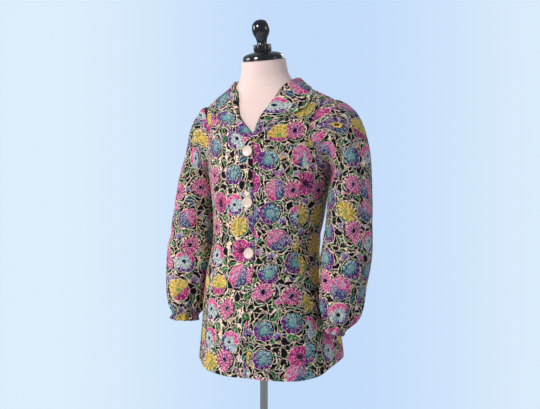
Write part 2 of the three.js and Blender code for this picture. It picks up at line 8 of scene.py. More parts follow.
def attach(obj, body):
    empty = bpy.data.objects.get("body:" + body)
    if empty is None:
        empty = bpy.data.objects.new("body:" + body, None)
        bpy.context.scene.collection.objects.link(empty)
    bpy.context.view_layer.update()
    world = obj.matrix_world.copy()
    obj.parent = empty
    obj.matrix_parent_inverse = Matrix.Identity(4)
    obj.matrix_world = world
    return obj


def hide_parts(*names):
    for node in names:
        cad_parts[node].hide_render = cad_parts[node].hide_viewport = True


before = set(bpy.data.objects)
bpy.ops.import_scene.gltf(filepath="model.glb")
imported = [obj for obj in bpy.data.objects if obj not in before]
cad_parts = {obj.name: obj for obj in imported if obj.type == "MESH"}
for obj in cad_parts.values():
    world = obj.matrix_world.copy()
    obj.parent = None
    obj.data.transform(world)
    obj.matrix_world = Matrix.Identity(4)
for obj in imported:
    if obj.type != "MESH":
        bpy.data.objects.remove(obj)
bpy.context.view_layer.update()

# A loose printed blazer, buttoned on a limbless dress form with a pole and a round base.
# Tables are in millimetres, in the solids' own frame: the front faces -Y, the wearer's left is +X.
mm = 0.001

cloth = {
    "thickness": 1.4,
    "seamGap": 0.3,
    "layerGap": 0.5,
    "rowPitch": 4.2,
}

# The blazer's outer surface as level rings: z, half width, y of the side line, depth before it,
# depth behind it, fullness, how far inside the form lies, and x of the middle.
bodyRings = [
    (700, 171, 31, 156, 154, 2.1, 24, 0),
    (770, 166, 32, 153, 152, 2.1, 16, 0),
    (860, 151, 33, 147, 143, 2.1, 10, 0),
    (920, 134, 33, 132, 127, 2.1, 9, 0),
    (1000, 118, 33, 112, 111, 2.1, 9, 0),
    (1100, 134, 33, 119, 117, 2.1, 9, 0),
    (1190, 150, 33, 121, 120, 2.1, 8, 0),
    (1259, 155, 32, 117, 117, 2.05, 6, 0),
    (1300, 160, 31, 110, 110, 2.05, 5, 0),
    (1330, 164, 30, 100, 97, 2, 4, 3),
    (1350, 161, 28, 88, 85, 1.94, 3.2, 6),
    (1368, 128, 24, 81, 74, 1.94, 3.1, 8),
    (1385, 94, 18, 75, 63, 2, 3.1, 6),
    (1400, 72, 11, 67, 55, 2, 3.1, 2),
]

# Long soft folds below the waist and bust: turn, spread, height, top, bottom.
bodyFolds = [
    (-118, 11, 4, 1010, 720),
    (-84, 8, -3.5, 960, 720),
    (-38, 9, 3, 930, 700),
    (30, 8, -2.5, 900, 700),
    (47, 7, 3.5, 980, 700),
    (78, 8, -2.5, 940, 710),
    (112, 14, 8.5, 960, 730),
    (141, 10, 4.5, 1040, 740),
    (178, 12, -3, 1060, 740),
    (214, 10, 4.5, 1020, 740),
]

# Where the loose cloth stands away from the waist, below the right arm.
waistBulge = {"turn": -64, "spread": 26, "height": 24, "z": 965, "tall": 95}

hemLines = {
    "left": [(0, 722), (40, 716), (64, 722), (90, 744), (125, 759), (180, 768)],
    "right": [(0, 722), (12, 722), (33, 729), (45, 739), (56, 749), (75, 757), (125, 765), (180, 768)],
}
hemFrontZ = 722
hemFade = 200
princessSeam = [(700, 52), (920, 57), (1000, 58), (1140, 54), (1230, 58), (1262, 64)]
sideSeamTurn = 90
armhole = {"bottomZ": 1203, "topZ": 1350, "front": 26, "back": 24, "step": 5}
lap = {"over": 12, "under": 24, "topZ": 1254, "slope": 9}

# Collar stations from the point of the V to centre back: neckline turn and z, the fall's outer
# edge as turn and z, and how high the collar stands above the neckline.
collarStations = [
    (0, 4, 1259, 6.5, 1254, 3),
    (1, 10.5, 1285, 20, 1274, 3.5),
    (2, 18, 1310, 33, 1295, 4),
    (3, 26.5, 1334, 46, 1311, 5),
    (4, 35, 1354, 57, 1324, 6),
    (5, 44.5, 1370, 67, 1352, 8.5),
    (6, 60, 1383, 78, 1373, 10),
    (7, 86, 1391, 91, 1382, 12),
    (8, 124, 1391, 124, 1377, 15),
    (9, 180, 1391, 180, 1374, 19),
]
collar = {"shiftLeft": 3, "shiftRight": 8, "fade": 55, "clear": 1.25, "roll": 1.8, "neckEdgeGap": 0.9}

# Sleeve rings from armhole to wrist: down, outermost x and z, innermost x and z, y of the middle,
# half depth, and the height of the gathers at the cap and at the wrist.
sleeveRings = [
    (1, 175, 1349.5, 153.6, 1204, 36, 64.5, 1.4, 0),
    (2, 194, 1338, 156.6, 1199, 42, 66, 1.8, 0),
    (3, 215, 1316, 157.5, 1190, 50, 66, 1.2, 0),
    (4, 230, 1276, 156, 1177, 54, 65, 0.4, 0),
    (5, 240, 1226, 153.5, 1156, 53, 63, 0, 0),
    (6, 246, 1170, 151, 1126, 42, 62, 0, 0),
    (7, 250, 1110, 150.5, 1088, 31, 63, 0, 0),
    (8, 254, 1046, 149.5, 1036, 20, 65, 0, 0),
    (9, 256, 984, 142.5, 980, 10, 68, 0, 0),
    (10, 248, 920, 149, 917, -5, 66, 0, 1),
    (11, 239, 872, 155, 871, -12, 60, 0, 2.4),
    (12, 231, 845, 162, 843, -16, 50, 0, 3.6),
    (13, 225, 828, 170, 826, -18, 37, 0, 3.2),
    (14, 227, 815, 168, 813, -19, 40, 0, 4),
]
sleeveFolds = [
    (35, 16, -4, 4, 9),
    (78, 14, 3.5, 3, 8),
    (128, 15, -4, 5, 11),
    (205, 18, 3, 6, 11),
    (262, 15, -4.5, 4, 10),
    (318, 14, 3.5, 5, 10),
]
sleeveLook = {
    "left": {"side": 1, "capIn": 0, "wristLift": 8, "wristTilt": -10, "wristOut": -18.5, "wristSlim": 0.22},
    "right": {"side": -1, "capIn": 12, "wristLift": 22, "wristTilt": 2, "wristOut": 5, "wristSlim": 0},
    "waves": 12,
    "fullness": 2.1,
    "seamGap": 0.7,
    "columns": 132,
    "rowsPerStep": 10,
    "gatheredWidth": 350,
}

# Creases laid one by one on the body: where each starts and ends as turn and z, how wide it is,
# and how far it stands out or, below zero, sinks in.
bodyCreases = [
    (62, 1052, 30, 1010, 9, -2.2),
    (66, 1030, 36, 984, 8, 1.8),
    (70, 1006, 44, 950, 10, -2.0),
    (56, 1180, 40, 1120, 11, -1.6),
    (74, 1150, 60, 1085, 9, 1.6),
    (20, 1226, 42, 1180, 12, -1.5),
    (16, 1108, 40, 1070, 9, -1.5),
    (14, 1000, 34, 940, 9, 1.5),
    (-14, 1225, -40, 1170, 12, -1.6),
    (-16, 1110, -46, 1062, 9, -1.8),
    (-18, 1090, -50, 1030, 8, 1.5),
    (-14, 994, -40, 930, 10, -1.7),
    (-58, 1060, -34, 1016, 9, 1.6),
    (-66, 1040, -40, 980, 9, -2.0),
    (-62, 1190, -44, 1124, 11, 1.5),
    (100, 1060, 128, 1010, 10, -2.0),
    (104, 1032, 138, 985, 9, 1.8),
    (112, 1180, 132, 1110, 12, -1.7),
    (150, 1070, 172, 1012, 10, -2.0),
    (156, 1040, 180, 990, 8, 1.5),
    (198, 1064, 178, 1020, 10, -1.8),
    (214, 1080, 188, 1036, 9, 1.6),
    (250, 1190, 232, 1110, 12, -1.7),
    (258, 1056, 226, 1008, 10, -2.0),
    (262, 1030, 236, 970, 9, 1.7),
    (150, 1320, 168, 1260, 13, -1.3),
    (214, 1322, 196, 1256, 13, -1.3),
]

# The same on the sleeves: angle and down.
sleeveCreases = [
    (20, 7.6, 75, 8.5, 8, -2.6),
    (28, 8.3, 88, 9.3, 8, 2.2),
    (96, 7.4, 50, 8.2, 9, -2.2),
    (110, 8.1, 60, 9.2, 8, 2.0),
    (150, 7.0, 112, 7.9, 9, -2.6),
    (160, 7.8, 118, 8.8, 8, 2.2),
    (-30, 7.5, -84, 8.4, 9, -2.6),
    (-40, 8.4, -96, 9.2, 8, 2.0),
    (-110, 7.2, -66, 8.0, 9, -2.4),
    (-150, 6.9, -112, 7.9, 9, 2.2),
    (12, 2.1, 34, 4.8, 9, -2.2),
    (-14, 2.1, -30, 4.6, 9, -2.2),
    (48, 2.0, 62, 4.6, 9, 2.0),
    (-52, 2.1, -64, 4.4, 9, 2.0),
    (150, 3.4, 104, 5.6, 10, -2.4),
    (-148, 3.5, -106, 5.7, 10, -2.4),
    (168, 4.6, 120, 6.6, 9, 2.2),
    (-166, 4.8, -124, 6.8, 9, 2.0),
    (14, 10.0, 40, 12.0, 9, -2.4),
    (66, 9.8, 80, 11.8, 9, 2.4),
    (120, 10.0, 104, 12.0, 9, -2.4),
    (-22, 9.9, -44, 12.0, 9, 2.4),
    (-82, 9.8, -90, 11.9, 9, -2.6),
    (-140, 10.0, -124, 12.0, 9, 2.2),
]


# Every column of a table at many places, on a smooth curve through its rows.
def readTable(rows, at, column):
    keys = np.array([row[0] for row in rows], float)
    values = np.array([row[column] for row in rows], float)
    at = np.clip(np.asarray(at, float), keys[0], keys[-1])
    i = np.clip(np.searchsorted(keys, at, side="left") - 1, 0, len(keys) - 2)
    before = np.maximum(i - 1, 0)
    after = np.minimum(i + 2, len(keys) - 1)
    span = keys[i + 1] - keys[i]
    f = (at - keys[i]) / span
    slopeFrom = span * (values[i + 1] - values[before]) / (keys[i + 1] - keys[before])
    slopeTo = span * (values[after] - values[i]) / (keys[after] - keys[i])
    rise = values[i + 1] - values[i]
    square = f * f * (3 * rise - 2 * slopeFrom - slopeTo)
    return values[i] + f * slopeFrom + square + f**3 * (slopeFrom + slopeTo - 2 * rise)


def smooth(value, low, high):
    f = np.clip((value - low) / (high - low), 0, 1)
    return f * f * (3 - 2 * f)


def awayTurn(turn, other):
    return (turn - other + 540) % 360 - 180


def foldHeight(folds, angle, place):
    height = 0
    for middle, spread, lift, top, bottom in folds:
        low, high = min(top, bottom), max(top, bottom)
        across = np.exp(-((awayTurn(angle, middle) / spread) ** 2))
        if bottom < top:
            reach = 1 - smooth(place, low + (high - low) * 0.3, high)
        else:
            reach = np.sin(math.pi * np.clip((place - low) / (high - low), 0, 1)) ** 0.7
        height = height + lift * across * reach
    return height


# Soft troughs and ridges along short lines. perTurn and perPlace turn both into millimetres.
def creaseHeight(creases, angle, place, perTurn, perPlace):
    height = 0
    for angleA, placeA, angleB, placeB, wide, lift in creases:
        run = (angleB - angleA) * perTurn
        drop = (placeB - placeA) * perPlace
        x = awayTurn(angle, angleA) * perTurn
        y = (place - placeA) * perPlace
        along = (x * run + y * drop) / (run * run + drop * drop)
        off = (x * drop - y * run) / math.hypot(run, drop)
        inside = np.sin(math.pi * np.clip(along, 0, 1)) ** 0.8
        height = height + lift * inside * np.exp(-((off / wide) ** 2))
    return height


def ovalReach(sine, cosine, wide, deep, fullness):
    return ((np.abs(sine) / wide) ** fullness + (np.abs(cosine) / deep) ** fullness) ** (-1 / fullness)


def bulgeHeight(turn, z):
    across = awayTurn(turn, waistBulge["turn"]) / waistBulge["spread"]
    up = (z - waistBulge["z"]) / waistBulge["tall"]
    return waistBulge["height"] * np.exp(-(across**2) - up**2)


def bodyRing(turn, z):
    sine, cosine = np.sin(np.radians(turn)), np.cos(np.radians(turn))
    deep = np.where(cosine > 0, readTable(bodyRings, z, 3), readTable(bodyRings, z, 4))
    return sine, cosine, readTable(bodyRings, z, 1), deep


def ringPoint(turn, z, creased=1.0):
    sine, cosine, wide, deep = bodyRing(turn, z)
    reach = ovalReach(sine, cosine, wide, deep, readTable(bodyRings, z, 5))
    reach = reach + foldHeight(bodyFolds, turn, z) + bulgeHeight(turn, z)
    reach = reach + creased * creaseHeight(bodyCreases, turn, z, 2.3, 1)
    z = z + 0 * reach
    across = readTable(bodyRings, z, 7) + reach * sine
    return np.stack([across, readTable(bodyRings, z, 2) - reach * cosine, z], axis=-1)


# The same direction as an angle of the ring's oval, where even steps suit its curve, and back.
def ovalAngle(turn, z):
    sine, cosine, wide, deep = bodyRing(turn, z)
    angle = np.degrees(np.arctan2(sine / wide, cosine / deep))
    return angle + 360 * np.round((turn - angle) / 360)


def turnFromOval(angle, z):
    sine, cosine, wide, deep = bodyRing(angle, z)
    turn = np.degrees(np.arctan2(sine * wide, cosine * deep))
    return turn + 360 * np.round((angle - turn) / 360)


def unit(vectors):
    return vectors / np.maximum(np.linalg.norm(vectors, axis=-1, keepdims=True), 1e-9)


def bodyNormal(turn, z, creased=1.0):
    step = 0.5
    along = ringPoint(turn + step, z, creased) - ringPoint(turn - step, z, creased)
    up = ringPoint(turn, z + step, creased) - ringPoint(turn, z - step, creased)
    return unit(np.cross(along, up))


# Points of the body surface, moved out along its normal.
def onBody(turn, z, out=0.0, creased=1.0):
    turn, z = np.broadcast_arrays(np.asarray(turn, float), np.asarray(z, float))
    out = np.asarray(out, float)[..., None]
    return ringPoint(turn, z, creased) + out * bodyNormal(turn, z, creased)


def turnOf(distance, z):
    return np.degrees(distance / readTable(bodyRings, z, 3))


def hemLift(turn, z):
    fromFront = np.where(turn > 180, 360 - turn, np.abs(turn))
    right = (turn < 0) | (turn > 180)
    hemRight = readTable(hemLines["right"], fromFront, 1)
    hemZ = np.where(right, hemRight, readTable(hemLines["left"], fromFront, 1))
    rise = hemZ - hemFrontZ
    return rise * (1 - smooth(z, hemFrontZ, hemFrontZ + hemFade))


# A wall between an outer and an inner grid of points, closed at its edges or round a loop.
# The outer face takes material 0 and the inner one material 1. uv is in metres along the cloth.
def clothWall(name, outer, inner, uv, materials, loop=False):
    rows, columns = outer.shape[:2]
    shell = outer.shape[0] * columns
    across = columns if loop else columns - 1
    r, c = np.meshgrid(np.arange(rows - 1), np.arange(across), indexing="ij")
    nextColumn = (c + 1) % columns
    quads = []
    corners = []
    face = np.stack([r * columns + c, r * columns + nextColumn, (r + 1) * columns + nextColumn,
                     (r + 1) * columns + c], -1).reshape(-1, 4)
    faceUv = np.stack([uv[r, c], uv[r, c + 1], uv[r + 1, c + 1], uv[r + 1, c]], 2).reshape(-1, 4, 2)
    quads.append(face)
    corners.append(faceUv)
    quads.append(face[:, ::-1] + shell)
    corners.append(faceUv[:, ::-1])
    for row, flip in ((0, True), (rows - 1, False)):
        c = np.arange(across)
        a, b = row * columns + c, row * columns + (c + 1) % columns
        edge = np.stack([a, b, b + shell, a + shell], -1)
        edgeUv = np.stack([uv[row, c], uv[row, c + 1], uv[row, c + 1], uv[row, c]], 1)
        quads.append(edge[:, ::-1] if flip else edge)
        corners.append(edgeUv[:, ::-1] if flip else edgeUv)
    if not loop:
        for column, flip in ((0, False), (columns - 1, True)):
            r = np.arange(rows - 1)
            a, b = r * columns + column, (r + 1) * columns + column
            edge = np.stack([a, b, b + shell, a + shell], -1)
            edgeUv = np.stack([uv[r, column], uv[r + 1, column], uv[r + 1, column], uv[r, column]], 1)
            quads.append(edge[:, ::-1] if flip else edge)
            corners.append(edgeUv[:, ::-1] if flip else edgeUv)
    points = np.concatenate([outer.reshape(-1, 3), inner.reshape(-1, 3)])
    indices = np.zeros(sum(len(q) for q in quads), int)
    indices[len(face) : 2 * len(face)] = 1
    return meshPiece(name, points, np.concatenate(quads), np.concatenate(corners), materials, indices)


def meshPiece(name, points, faces, corners, materials, indices=None):
    mesh = bpy.data.meshes.new(name)
    mesh.from_pydata((np.asarray(points) * mm).tolist(), [], [list(map(int, f)) for f in faces])
    for material in materials:
        mesh.materials.append(material)
    if corners is not None:
        layer = mesh.uv_layers.new(name="clothMap")
        layer.data.foreach_set("uv", (np.asarray(corners).reshape(-1, 2) * mm).ravel())
    if indices is not None:
        mesh.polygons.foreach_set("material_index", indices)
    mesh.polygons.foreach_set("use_smooth", np.ones(len(mesh.polygons), bool))
    facesOut(mesh)
    mesh.set_sharp_from_angle(angle=math.radians(50))
    piece = bpy.data.objects.new(name, mesh)
    bpy.context.scene.collection.objects.link(piece)
    return piece


# A closed mesh whose faces point inwards has a negative volume.
def facesOut(mesh):
    mesh.calc_loop_triangles()
    volume = 0.0
    for triangle in mesh.loop_triangles:
        a, b, c = (mesh.vertices[i].co for i in triangle.vertices)
        volume += a.dot(b.cross(c))
    if volume < 0:
        mesh.flip_normals()


def insideOf(outer, loop, sign):
    if loop:
        across = np.roll(outer, -1, 1) - np.roll(outer, 1, 1)
    else:
        across = np.gradient(outer, axis=1)
    along = np.gradient(outer, axis=0)
    return outer - sign * cloth["thickness"] * unit(np.cross(across, along))


def stepLengths(points, axis):
    steps = np.linalg.norm(np.diff(points, axis=axis), axis=-1)
    shape = list(steps.shape)
    shape[axis] = 1
    return np.concatenate([np.zeros(shape), np.cumsum(steps, axis=axis)], axis=axis)


# Hem to armhole in even steps, the armhole at even angles, and even steps up the shoulder.
neckSideZ = collarStations[7][2]
armholeMiddleZ = (armhole["topZ"] + armhole["bottomZ"]) / 2
armholeHalf = (armhole["topZ"] - armhole["bottomZ"]) / 2
lowerCount = round((armhole["bottomZ"] - hemFrontZ) / cloth["rowPitch"])
shoulderCount = round((neckSideZ - armhole["topZ"]) / cloth["rowPitch"] * 1.6)
rowHeights = np.concatenate([
    np.linspace(hemFrontZ, armhole["bottomZ"], lowerCount, endpoint=False),
    armholeMiddleZ - armholeHalf * np.cos(np.radians(np.arange(0, 180, armhole["step"]))),
    np.linspace(armhole["topZ"], neckSideZ, shoulderCount + 1),
])


def armholeShare(z):
    rise = np.clip((z - armholeMiddleZ) / armholeHalf, -1, 1)
    return np.sqrt(1 - rise * rise)


def collarShift(z, side):
    shift = collar["shiftLeft"] if side > 0 else collar["shiftRight"]
    return shift * side * (1 - smooth(z, collarStations[0][2], collarStations[0][2] + collar["fade"]))


def neckTurnAt(z, side):
    rows = [(row[2], row[1]) for row in collarStations[:8]]
    return readTable(rows, z, 1) + collarShift(z, side)


def princessTurn(z):
    return readTable(princessSeam, z, 1)


princessTopZ = princessSeam[-1][0]


def frontArmholeTurn(z):
    return sideSeamTurn - armhole["front"] * armholeShare(z)


def frontOuterTurn(z):
    upper = np.where(z < armhole["topZ"], frontArmholeTurn(z), sideSeamTurn)
    return np.where(z <= princessTopZ, princessTurn(z), upper)


def frontNeckTurn(z, side):
    return neckTurnAt(z, side) + math.degrees(collar["neckEdgeGap"] / 100)


def sideOuterTurn(z):
    return np.where(z <= armhole["bottomZ"], sideSeamTurn, frontArmholeTurn(z))


def backTurn(z):
    opened = (z > armhole["bottomZ"]) & (z < armhole["topZ"])
    return sideSeamTurn + np.where(opened, armhole["back"] * armholeShare(z), 0)


# Where a turn lies along the cloth of each row, in mm from fromTurn.
def clothAcross(turns, heights, fromTurn):
    fine = np.arange(-100.0, 281.0, 1.0)
    rows = ringPoint(fine[None, :], heights[:, None], 0)
    lengths = stepLengths(rows, 1)
    across = []
    for row, length in zip(turns, lengths):
        across.append(np.interp(row, fine, length) - np.interp(fromTurn, fine, length))
    return np.array(across)


# A body panel between two boundaries, each given as a turn at a height. The print's map starts
# at grainTurn on the hem, moved by mapFrom.
def bodyPanel(name, look, leftTurn, rightTurn, heights, materials, sink=None):
    z = np.array(heights)
    gap = math.degrees(cloth["seamGap"] / 2 / 130)
    left = ovalAngle(leftTurn(z) + gap, z)
    right = ovalAngle(rightTurn(z) - gap, z)
    share = np.linspace(0, 1, look["columns"] + 1)
    angles = left[:, None] + (right - left)[:, None] * share[None, :]
    level = z[:, None] + 0 * angles
    turns = turnFromOval(angles, level)
    sunk = 0 * turns if sink is None else sink(turns)
    lifted = level + hemLift(turns, level)
    outer = onBody(turns, lifted, -sunk)
    inner = onBody(turns, lifted, -sunk - cloth["thickness"])
    u = clothAcross(turns, z, look["grainTurn"])
    rise = np.linalg.norm(np.diff(outer, axis=0), axis=-1)
    slide = np.abs(np.diff(u, axis=0))
    climb = np.sqrt(np.maximum(rise**2 - slide**2, 0.3 * rise**2))
    v = np.concatenate([lifted[:1] - hemFrontZ, climb]).cumsum(0)
    uv = np.stack([u + look["mapFrom"][0], v + look["mapFrom"][1]], -1)
    return clothWall(name, outer, inner, uv, materials)


def declareCloth(piece, node):
    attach(piece, "root")
    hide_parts(node)


frontLook = {"columns": 44, "grainTurn": 0, "mapFrom": (0, 0)}
sideLook = {"columns": 26, "grainTurn": 75, "mapFrom": (333, 41)}
backLook = {"columns": 104, "grainTurn": 180, "mapFrom": (700, 17)}


# The left front sinks under the lap, and comes up again beside it.
def underLap(turns):
    start = turnOf(lap["over"], 1100)
    down = cloth["thickness"] + cloth["layerGap"]
    return down * (1 - smooth(turns, start + 1, start + lap["slope"]))


def makeBody(materials):
    left = bodyPanel(
        "blazerFrontLeft", {**frontLook, "mapFrom": (37, 96)},
        lambda z: np.where(z < lap["topZ"], -turnOf(lap["under"], z), frontNeckTurn(z, 1)),
        frontOuterTurn, rowHeights, materials, underLap)
    right = bodyPanel(
        "blazerFrontRight", frontLook,
        lambda z: -frontOuterTurn(z),
        lambda z: np.where(z < lap["topZ"], turnOf(lap["over"], z), -frontNeckTurn(z, -1)),
        rowHeights, materials)
    declareCloth(left, "front_left")
    declareCloth(right, "front_right")
    sideHeights = rowHeights[rowHeights < princessTopZ - 2]
    sideLeft = bodyPanel("blazerSideLeft", sideLook, princessTurn, sideOuterTurn, sideHeights, materials)
    sideRight = bodyPanel(
        "blazerSideRight", {**sideLook, "grainTurn": -75, "mapFrom": (511, 130)},
        lambda z: -sideOuterTurn(z), lambda z: -princessTurn(z), sideHeights, materials)
    declareCloth(sideLeft, "side_front_left")
    declareCloth(sideRight, "side_front_right")
    back = bodyPanel("blazerBack", backLook, backTurn, lambda z: 360 - backTurn(z), rowHeights, materials)
    declareCloth(back, "back")


# The sleeve's seam, which lies just inside the armhole's edge.
def sleeveSeam(angles):
    sine, cosine = np.sin(np.radians(angles)), np.cos(np.radians(angles))
    width = np.where(sine > 0, armhole["front"], armhole["back"])
    width = width - math.degrees(sleeveLook["seamGap"] / 150)
    z = armholeMiddleZ + (armholeHalf - sleeveLook["seamGap"]) * cosine
    return onBody(sideSeamTurn - width * sine, z)


# Angle 0 is the outer side of a sleeve and 90 its front.
def sleevePoints(angles, down, side):
    column = {key: readTable(sleeveRings, down, i + 1) for i, key in enumerate(
        ("outX", "outZ", "inX", "inZ", "y", "depth", "cap", "wrist"))}
    sine, cosine = np.sin(np.radians(angles)), np.cos(np.radians(angles))
    low, end = smooth(down, 9, 13), smooth(down, 11.5, 14)
    slim = 1 - side["wristSlim"] * end
    halfX, halfZ = (column["outX"] - column["inX"]) / 2, (column["outZ"] - column["inZ"]) / 2
    half = np.hypot(halfX, halfZ)
    gathers = np.cos(np.radians(angles * sleeveLook["waves"])) + gatherDrift(angles)
    reach = ovalReach(cosine, sine, half * slim, column["depth"] * slim, sleeveLook["fullness"])
    reach = reach + gathers * (column["cap"] * np.maximum(cosine, 0) ** 0.7 + column["wrist"] * slim)
    reach = reach + foldHeight(sleeveFolds, angles, down)
    reach = reach + creaseHeight(sleeveCreases, angles, down, 0.95, 48)
    x = (column["outX"] + column["inX"]) / 2 + side["wristOut"] * end + halfX / half * reach * cosine
    z = (column["outZ"] + column["inZ"]) / 2 + halfZ / half * reach * cosine
    y = column["y"] - reach * sine
    z = z + low * (side["wristLift"] + side["wristTilt"] * cosine)
    lean = smooth(down, 0.5, 2) * (1 - smooth(down, 4, 6))
    x = x - side["capIn"] * (1 + cosine) / 2 * lean
    return np.stack([x, y, z], -1)


# Gathers are never even: this moves them in and out along the seam.
def gatherDrift(angles):
    return 0.45 * np.sin(np.radians(angles * 5 + 40)) * np.cos(np.radians(angles * 17 + 25))


def makeSleeve(name, node, side, mapFrom, materials):
    count = sleeveLook["columns"]
    angles = np.arange(count) * 360 / count - 180
    downs = np.concatenate([[1 / 3, 2 / 3], np.arange(1, 14 + 1e-6, 1 / sleeveLook["rowsPerStep"])])
    seam = sleeveSeam(angles)
    grid = sleevePoints(angles[None, :], np.maximum(downs, 1)[:, None], side)
    for row, down in enumerate(downs[:2]):
        bulge = math.sin(math.pi * down) * 1.2
        grid[row] = seam + (grid[2] - seam) * down
        grid[row] = grid[row] + bulge * np.array([0.3, 0, 1])
    outer = np.concatenate([seam[None], grid])
    outer[..., 0] *= side["side"]
    inner = insideOf(outer, True, side["side"])
    looped = np.concatenate([outer, outer[:, :1]], 1)
    around = stepLengths(looped, 1)
    u = around - around[:, -1:] / 2
    gathered = smooth(np.concatenate([[0], downs]), 10.5, 13)[:, None]
    flat = (np.arange(count + 1) / count - 0.5) * sleeveLook["gatheredWidth"]
    u = u * (1 - gathered) + flat * gathered
    v = stepLengths(looped, 0)
    v = v[-1:] - v
    uv = np.stack([u * side["side"] + mapFrom[0], v + mapFrom[1]], -1)
    sleeve = clothWall(name, outer, inner, uv, materials, True)
    declareCloth(sleeve, node)
    return sleeve


collarLook = {"rowsPerStation": 14, "fallPoints": 16, "mapFrom": (1200, 60)}


# One side of the collar from the point of the V to the back, as rows across it: from the outer
# edge of the fall, over the roll and down the stand.
def collarRows(along, side):
    column = [readTable(collarStations, along, i) for i in range(6)]
    neckZ, edgeZ, stand = column[2], column[4], column[5]
    shift = collarShift(neckZ, side)
    neckTurn, edgeTurn = column[1] + shift, column[3] + shift
    out = collar["clear"] + cloth["thickness"]
    seam = onBody(side * neckTurn, neckZ, 0, 0)
    near = onBody(side * (neckTurn * 0.95 + edgeTurn * 0.05), neckZ * 0.95 + edgeZ * 0.05, 0, 0)
    away = unit(near - seam)
    upright = smooth(neckTurn, 40, 110)[:, None]
    back = 1 - 0.6 * upright
    lean = unit(np.array([0, 0, 1]) * (1 - back) - away * back)
    lift = lean * stand[:, None]
    section = []
    for share in np.linspace(1, 0, collarLook["fallPoints"]) ** 1.25:
        turn = side * (neckTurn + (edgeTurn - neckTurn) * share)
        point = onBody(turn, neckZ + (edgeZ - neckZ) * share, out, 0)
        section.append(point + lift * (1 - share) ** 1.3)
    normal = bodyNormal(side * neckTurn, neckZ, 0)
    foot = seam - away * collar["neckEdgeGap"] / 2
    inward = foot + lift - normal * 0.2
    roll = collar["roll"]
    section.append(section[-1] + lean * roll * 0.75 - normal * roll * 0.35)
    section.append(inward + lean * roll * 0.75 - normal * roll * 0.6)
    section.append(inward - normal * roll * 0.9)
    section.append(foot * 0.5 + (inward - normal * roll * 0.9) * 0.5)
    section.append(foot - normal * roll * 0.5)
    return np.stack(section, 1)


def makeCollar(materials):
    count = 9 * collarLook["rowsPerStation"]
    along = np.arange(count + 1) / collarLook["rowsPerStation"]
    leftRows = collarRows(along, 1)
    rightRows = collarRows(along[::-1][1:], -1)
    inner = np.concatenate([leftRows, rightRows])
    outer = insideOf(inner, False, 1)
    across = stepLengths(outer, 1)
    length = stepLengths(outer, 0)
    length = length[:, collarLook["fallPoints"] // 2, None] + 0 * across
    uv = np.stack([length + collarLook["mapFrom"][0], across + collarLook["mapFrom"][1]], -1)
    piece = clothWall("blazerCollar", outer, inner, uv, materials)
    declareCloth(piece, "collar")


# A closed solid through rings with the same number of points, ended by a fan at each end.
def ringSolid(name, rings, material):
    rings = np.array(rings)
    count, around = rings.shape[:2]
    points = np.concatenate([rings.reshape(-1, 3), rings[:1].mean(1), rings[-1:].mean(1)])
    faces = []
    for r in range(count - 1):
        for c in range(around):
            a, b = r * around + c, r * around + (c + 1) % around
            faces.append((a, b, b + around, a + around))
    for c in range(around):
        nextPoint = (c + 1) % around
        faces.append((nextPoint, c, count * around))
        last = (count - 1) * around
        faces.append((last + c, last + nextPoint, count * around + 1))
    return meshPiece(name, points, faces, None, [material])


# Rings between key rings, on smooth curves through them.
def smoothRings(keys, steps):
    keys = np.array(keys)
    padded = np.concatenate([2 * keys[:1] - keys[1:2], keys, 2 * keys[-1:] - keys[-2:-1]])
    rings = []
    for i in range(len(keys) - 1):
        a, b, c, d = padded[i : i + 4]
        for f in np.arange(steps) / steps:
            curve = 2 * b + (c - a) * f + (2 * a - 5 * b + 4 * c - d) * f**2
            rings.append(0.5 * (curve + (3 * b - a - 3 * c + d) * f**3))
    rings.append(keys[-1])
    return rings


# A turned piece from (radius, height) corners that start and end on the axis.
def turnedPiece(name, profile, segments, material, place=None):
    angles = np.arange(segments) * 2 * math.pi / segments
    ring = np.stack([np.cos(angles), np.sin(angles)], -1)
    rings = []
    for radius, height in profile[1:-1]:
        rings.append(np.concatenate([ring * radius, np.full((segments, 1), height)], 1))
    piece = ringSolid(name, rings, material)
    if place is not None:
        piece.data.transform(place)
    return piece


# Rounds the corners of a profile: each inner corner with a radius becomes an arc of points.
def rounded(corners, steps=5):
    profile = []
    for i, (radius, height, bend) in enumerate(corners):
        here = np.array((radius, height), float)
        if not bend:
            profile.append(tuple(here))
            continue
        before = np.array(corners[i - 1][:2], float) - here
        after = np.array(corners[i + 1][:2], float) - here
        start = here + before * min(bend / np.linalg.norm(before), 0.49)
        end = here + after * min(bend / np.linalg.norm(after), 0.49)
        for f in np.linspace(0, 1, steps + 1):
            point = start * (1 - f) ** 2 + here * 2 * f * (1 - f) + end * f**2
            profile.append(tuple(point))
    return profile


def declareSolid(piece, node):
    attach(piece, "root")
    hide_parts(node)


form = {
    "bottomZ": 812,
    "columns": 112,
    "socketRadius": 9.4,
    "socketDepth": 60,
    "lean": 12,
    "lip": 0.9,
    "heights": [816, 840, 880, 920, 960, 1000, 1050, 1100, 1150, 1195, 1235, 1270, 1300, 1322, 1338,
                1350, 1359, 1368, 1377, 1386],
    # y, z, half width, half depth and forward tilt of each ring of the neck.
    "neckRings": [(8, 1396, 67, 52.5, 3), (5, 1409, 59.5, 53, 6), (1.5, 1428, 55, 52.5, 9),
                  (-2.6, 1448, 52.6, 52.1, 12)],
    "neckTop": (0, -3, 1450),
    "softNeck": {"from": 1366, "to": 1418, "fade": 10, "passes": 40},
}


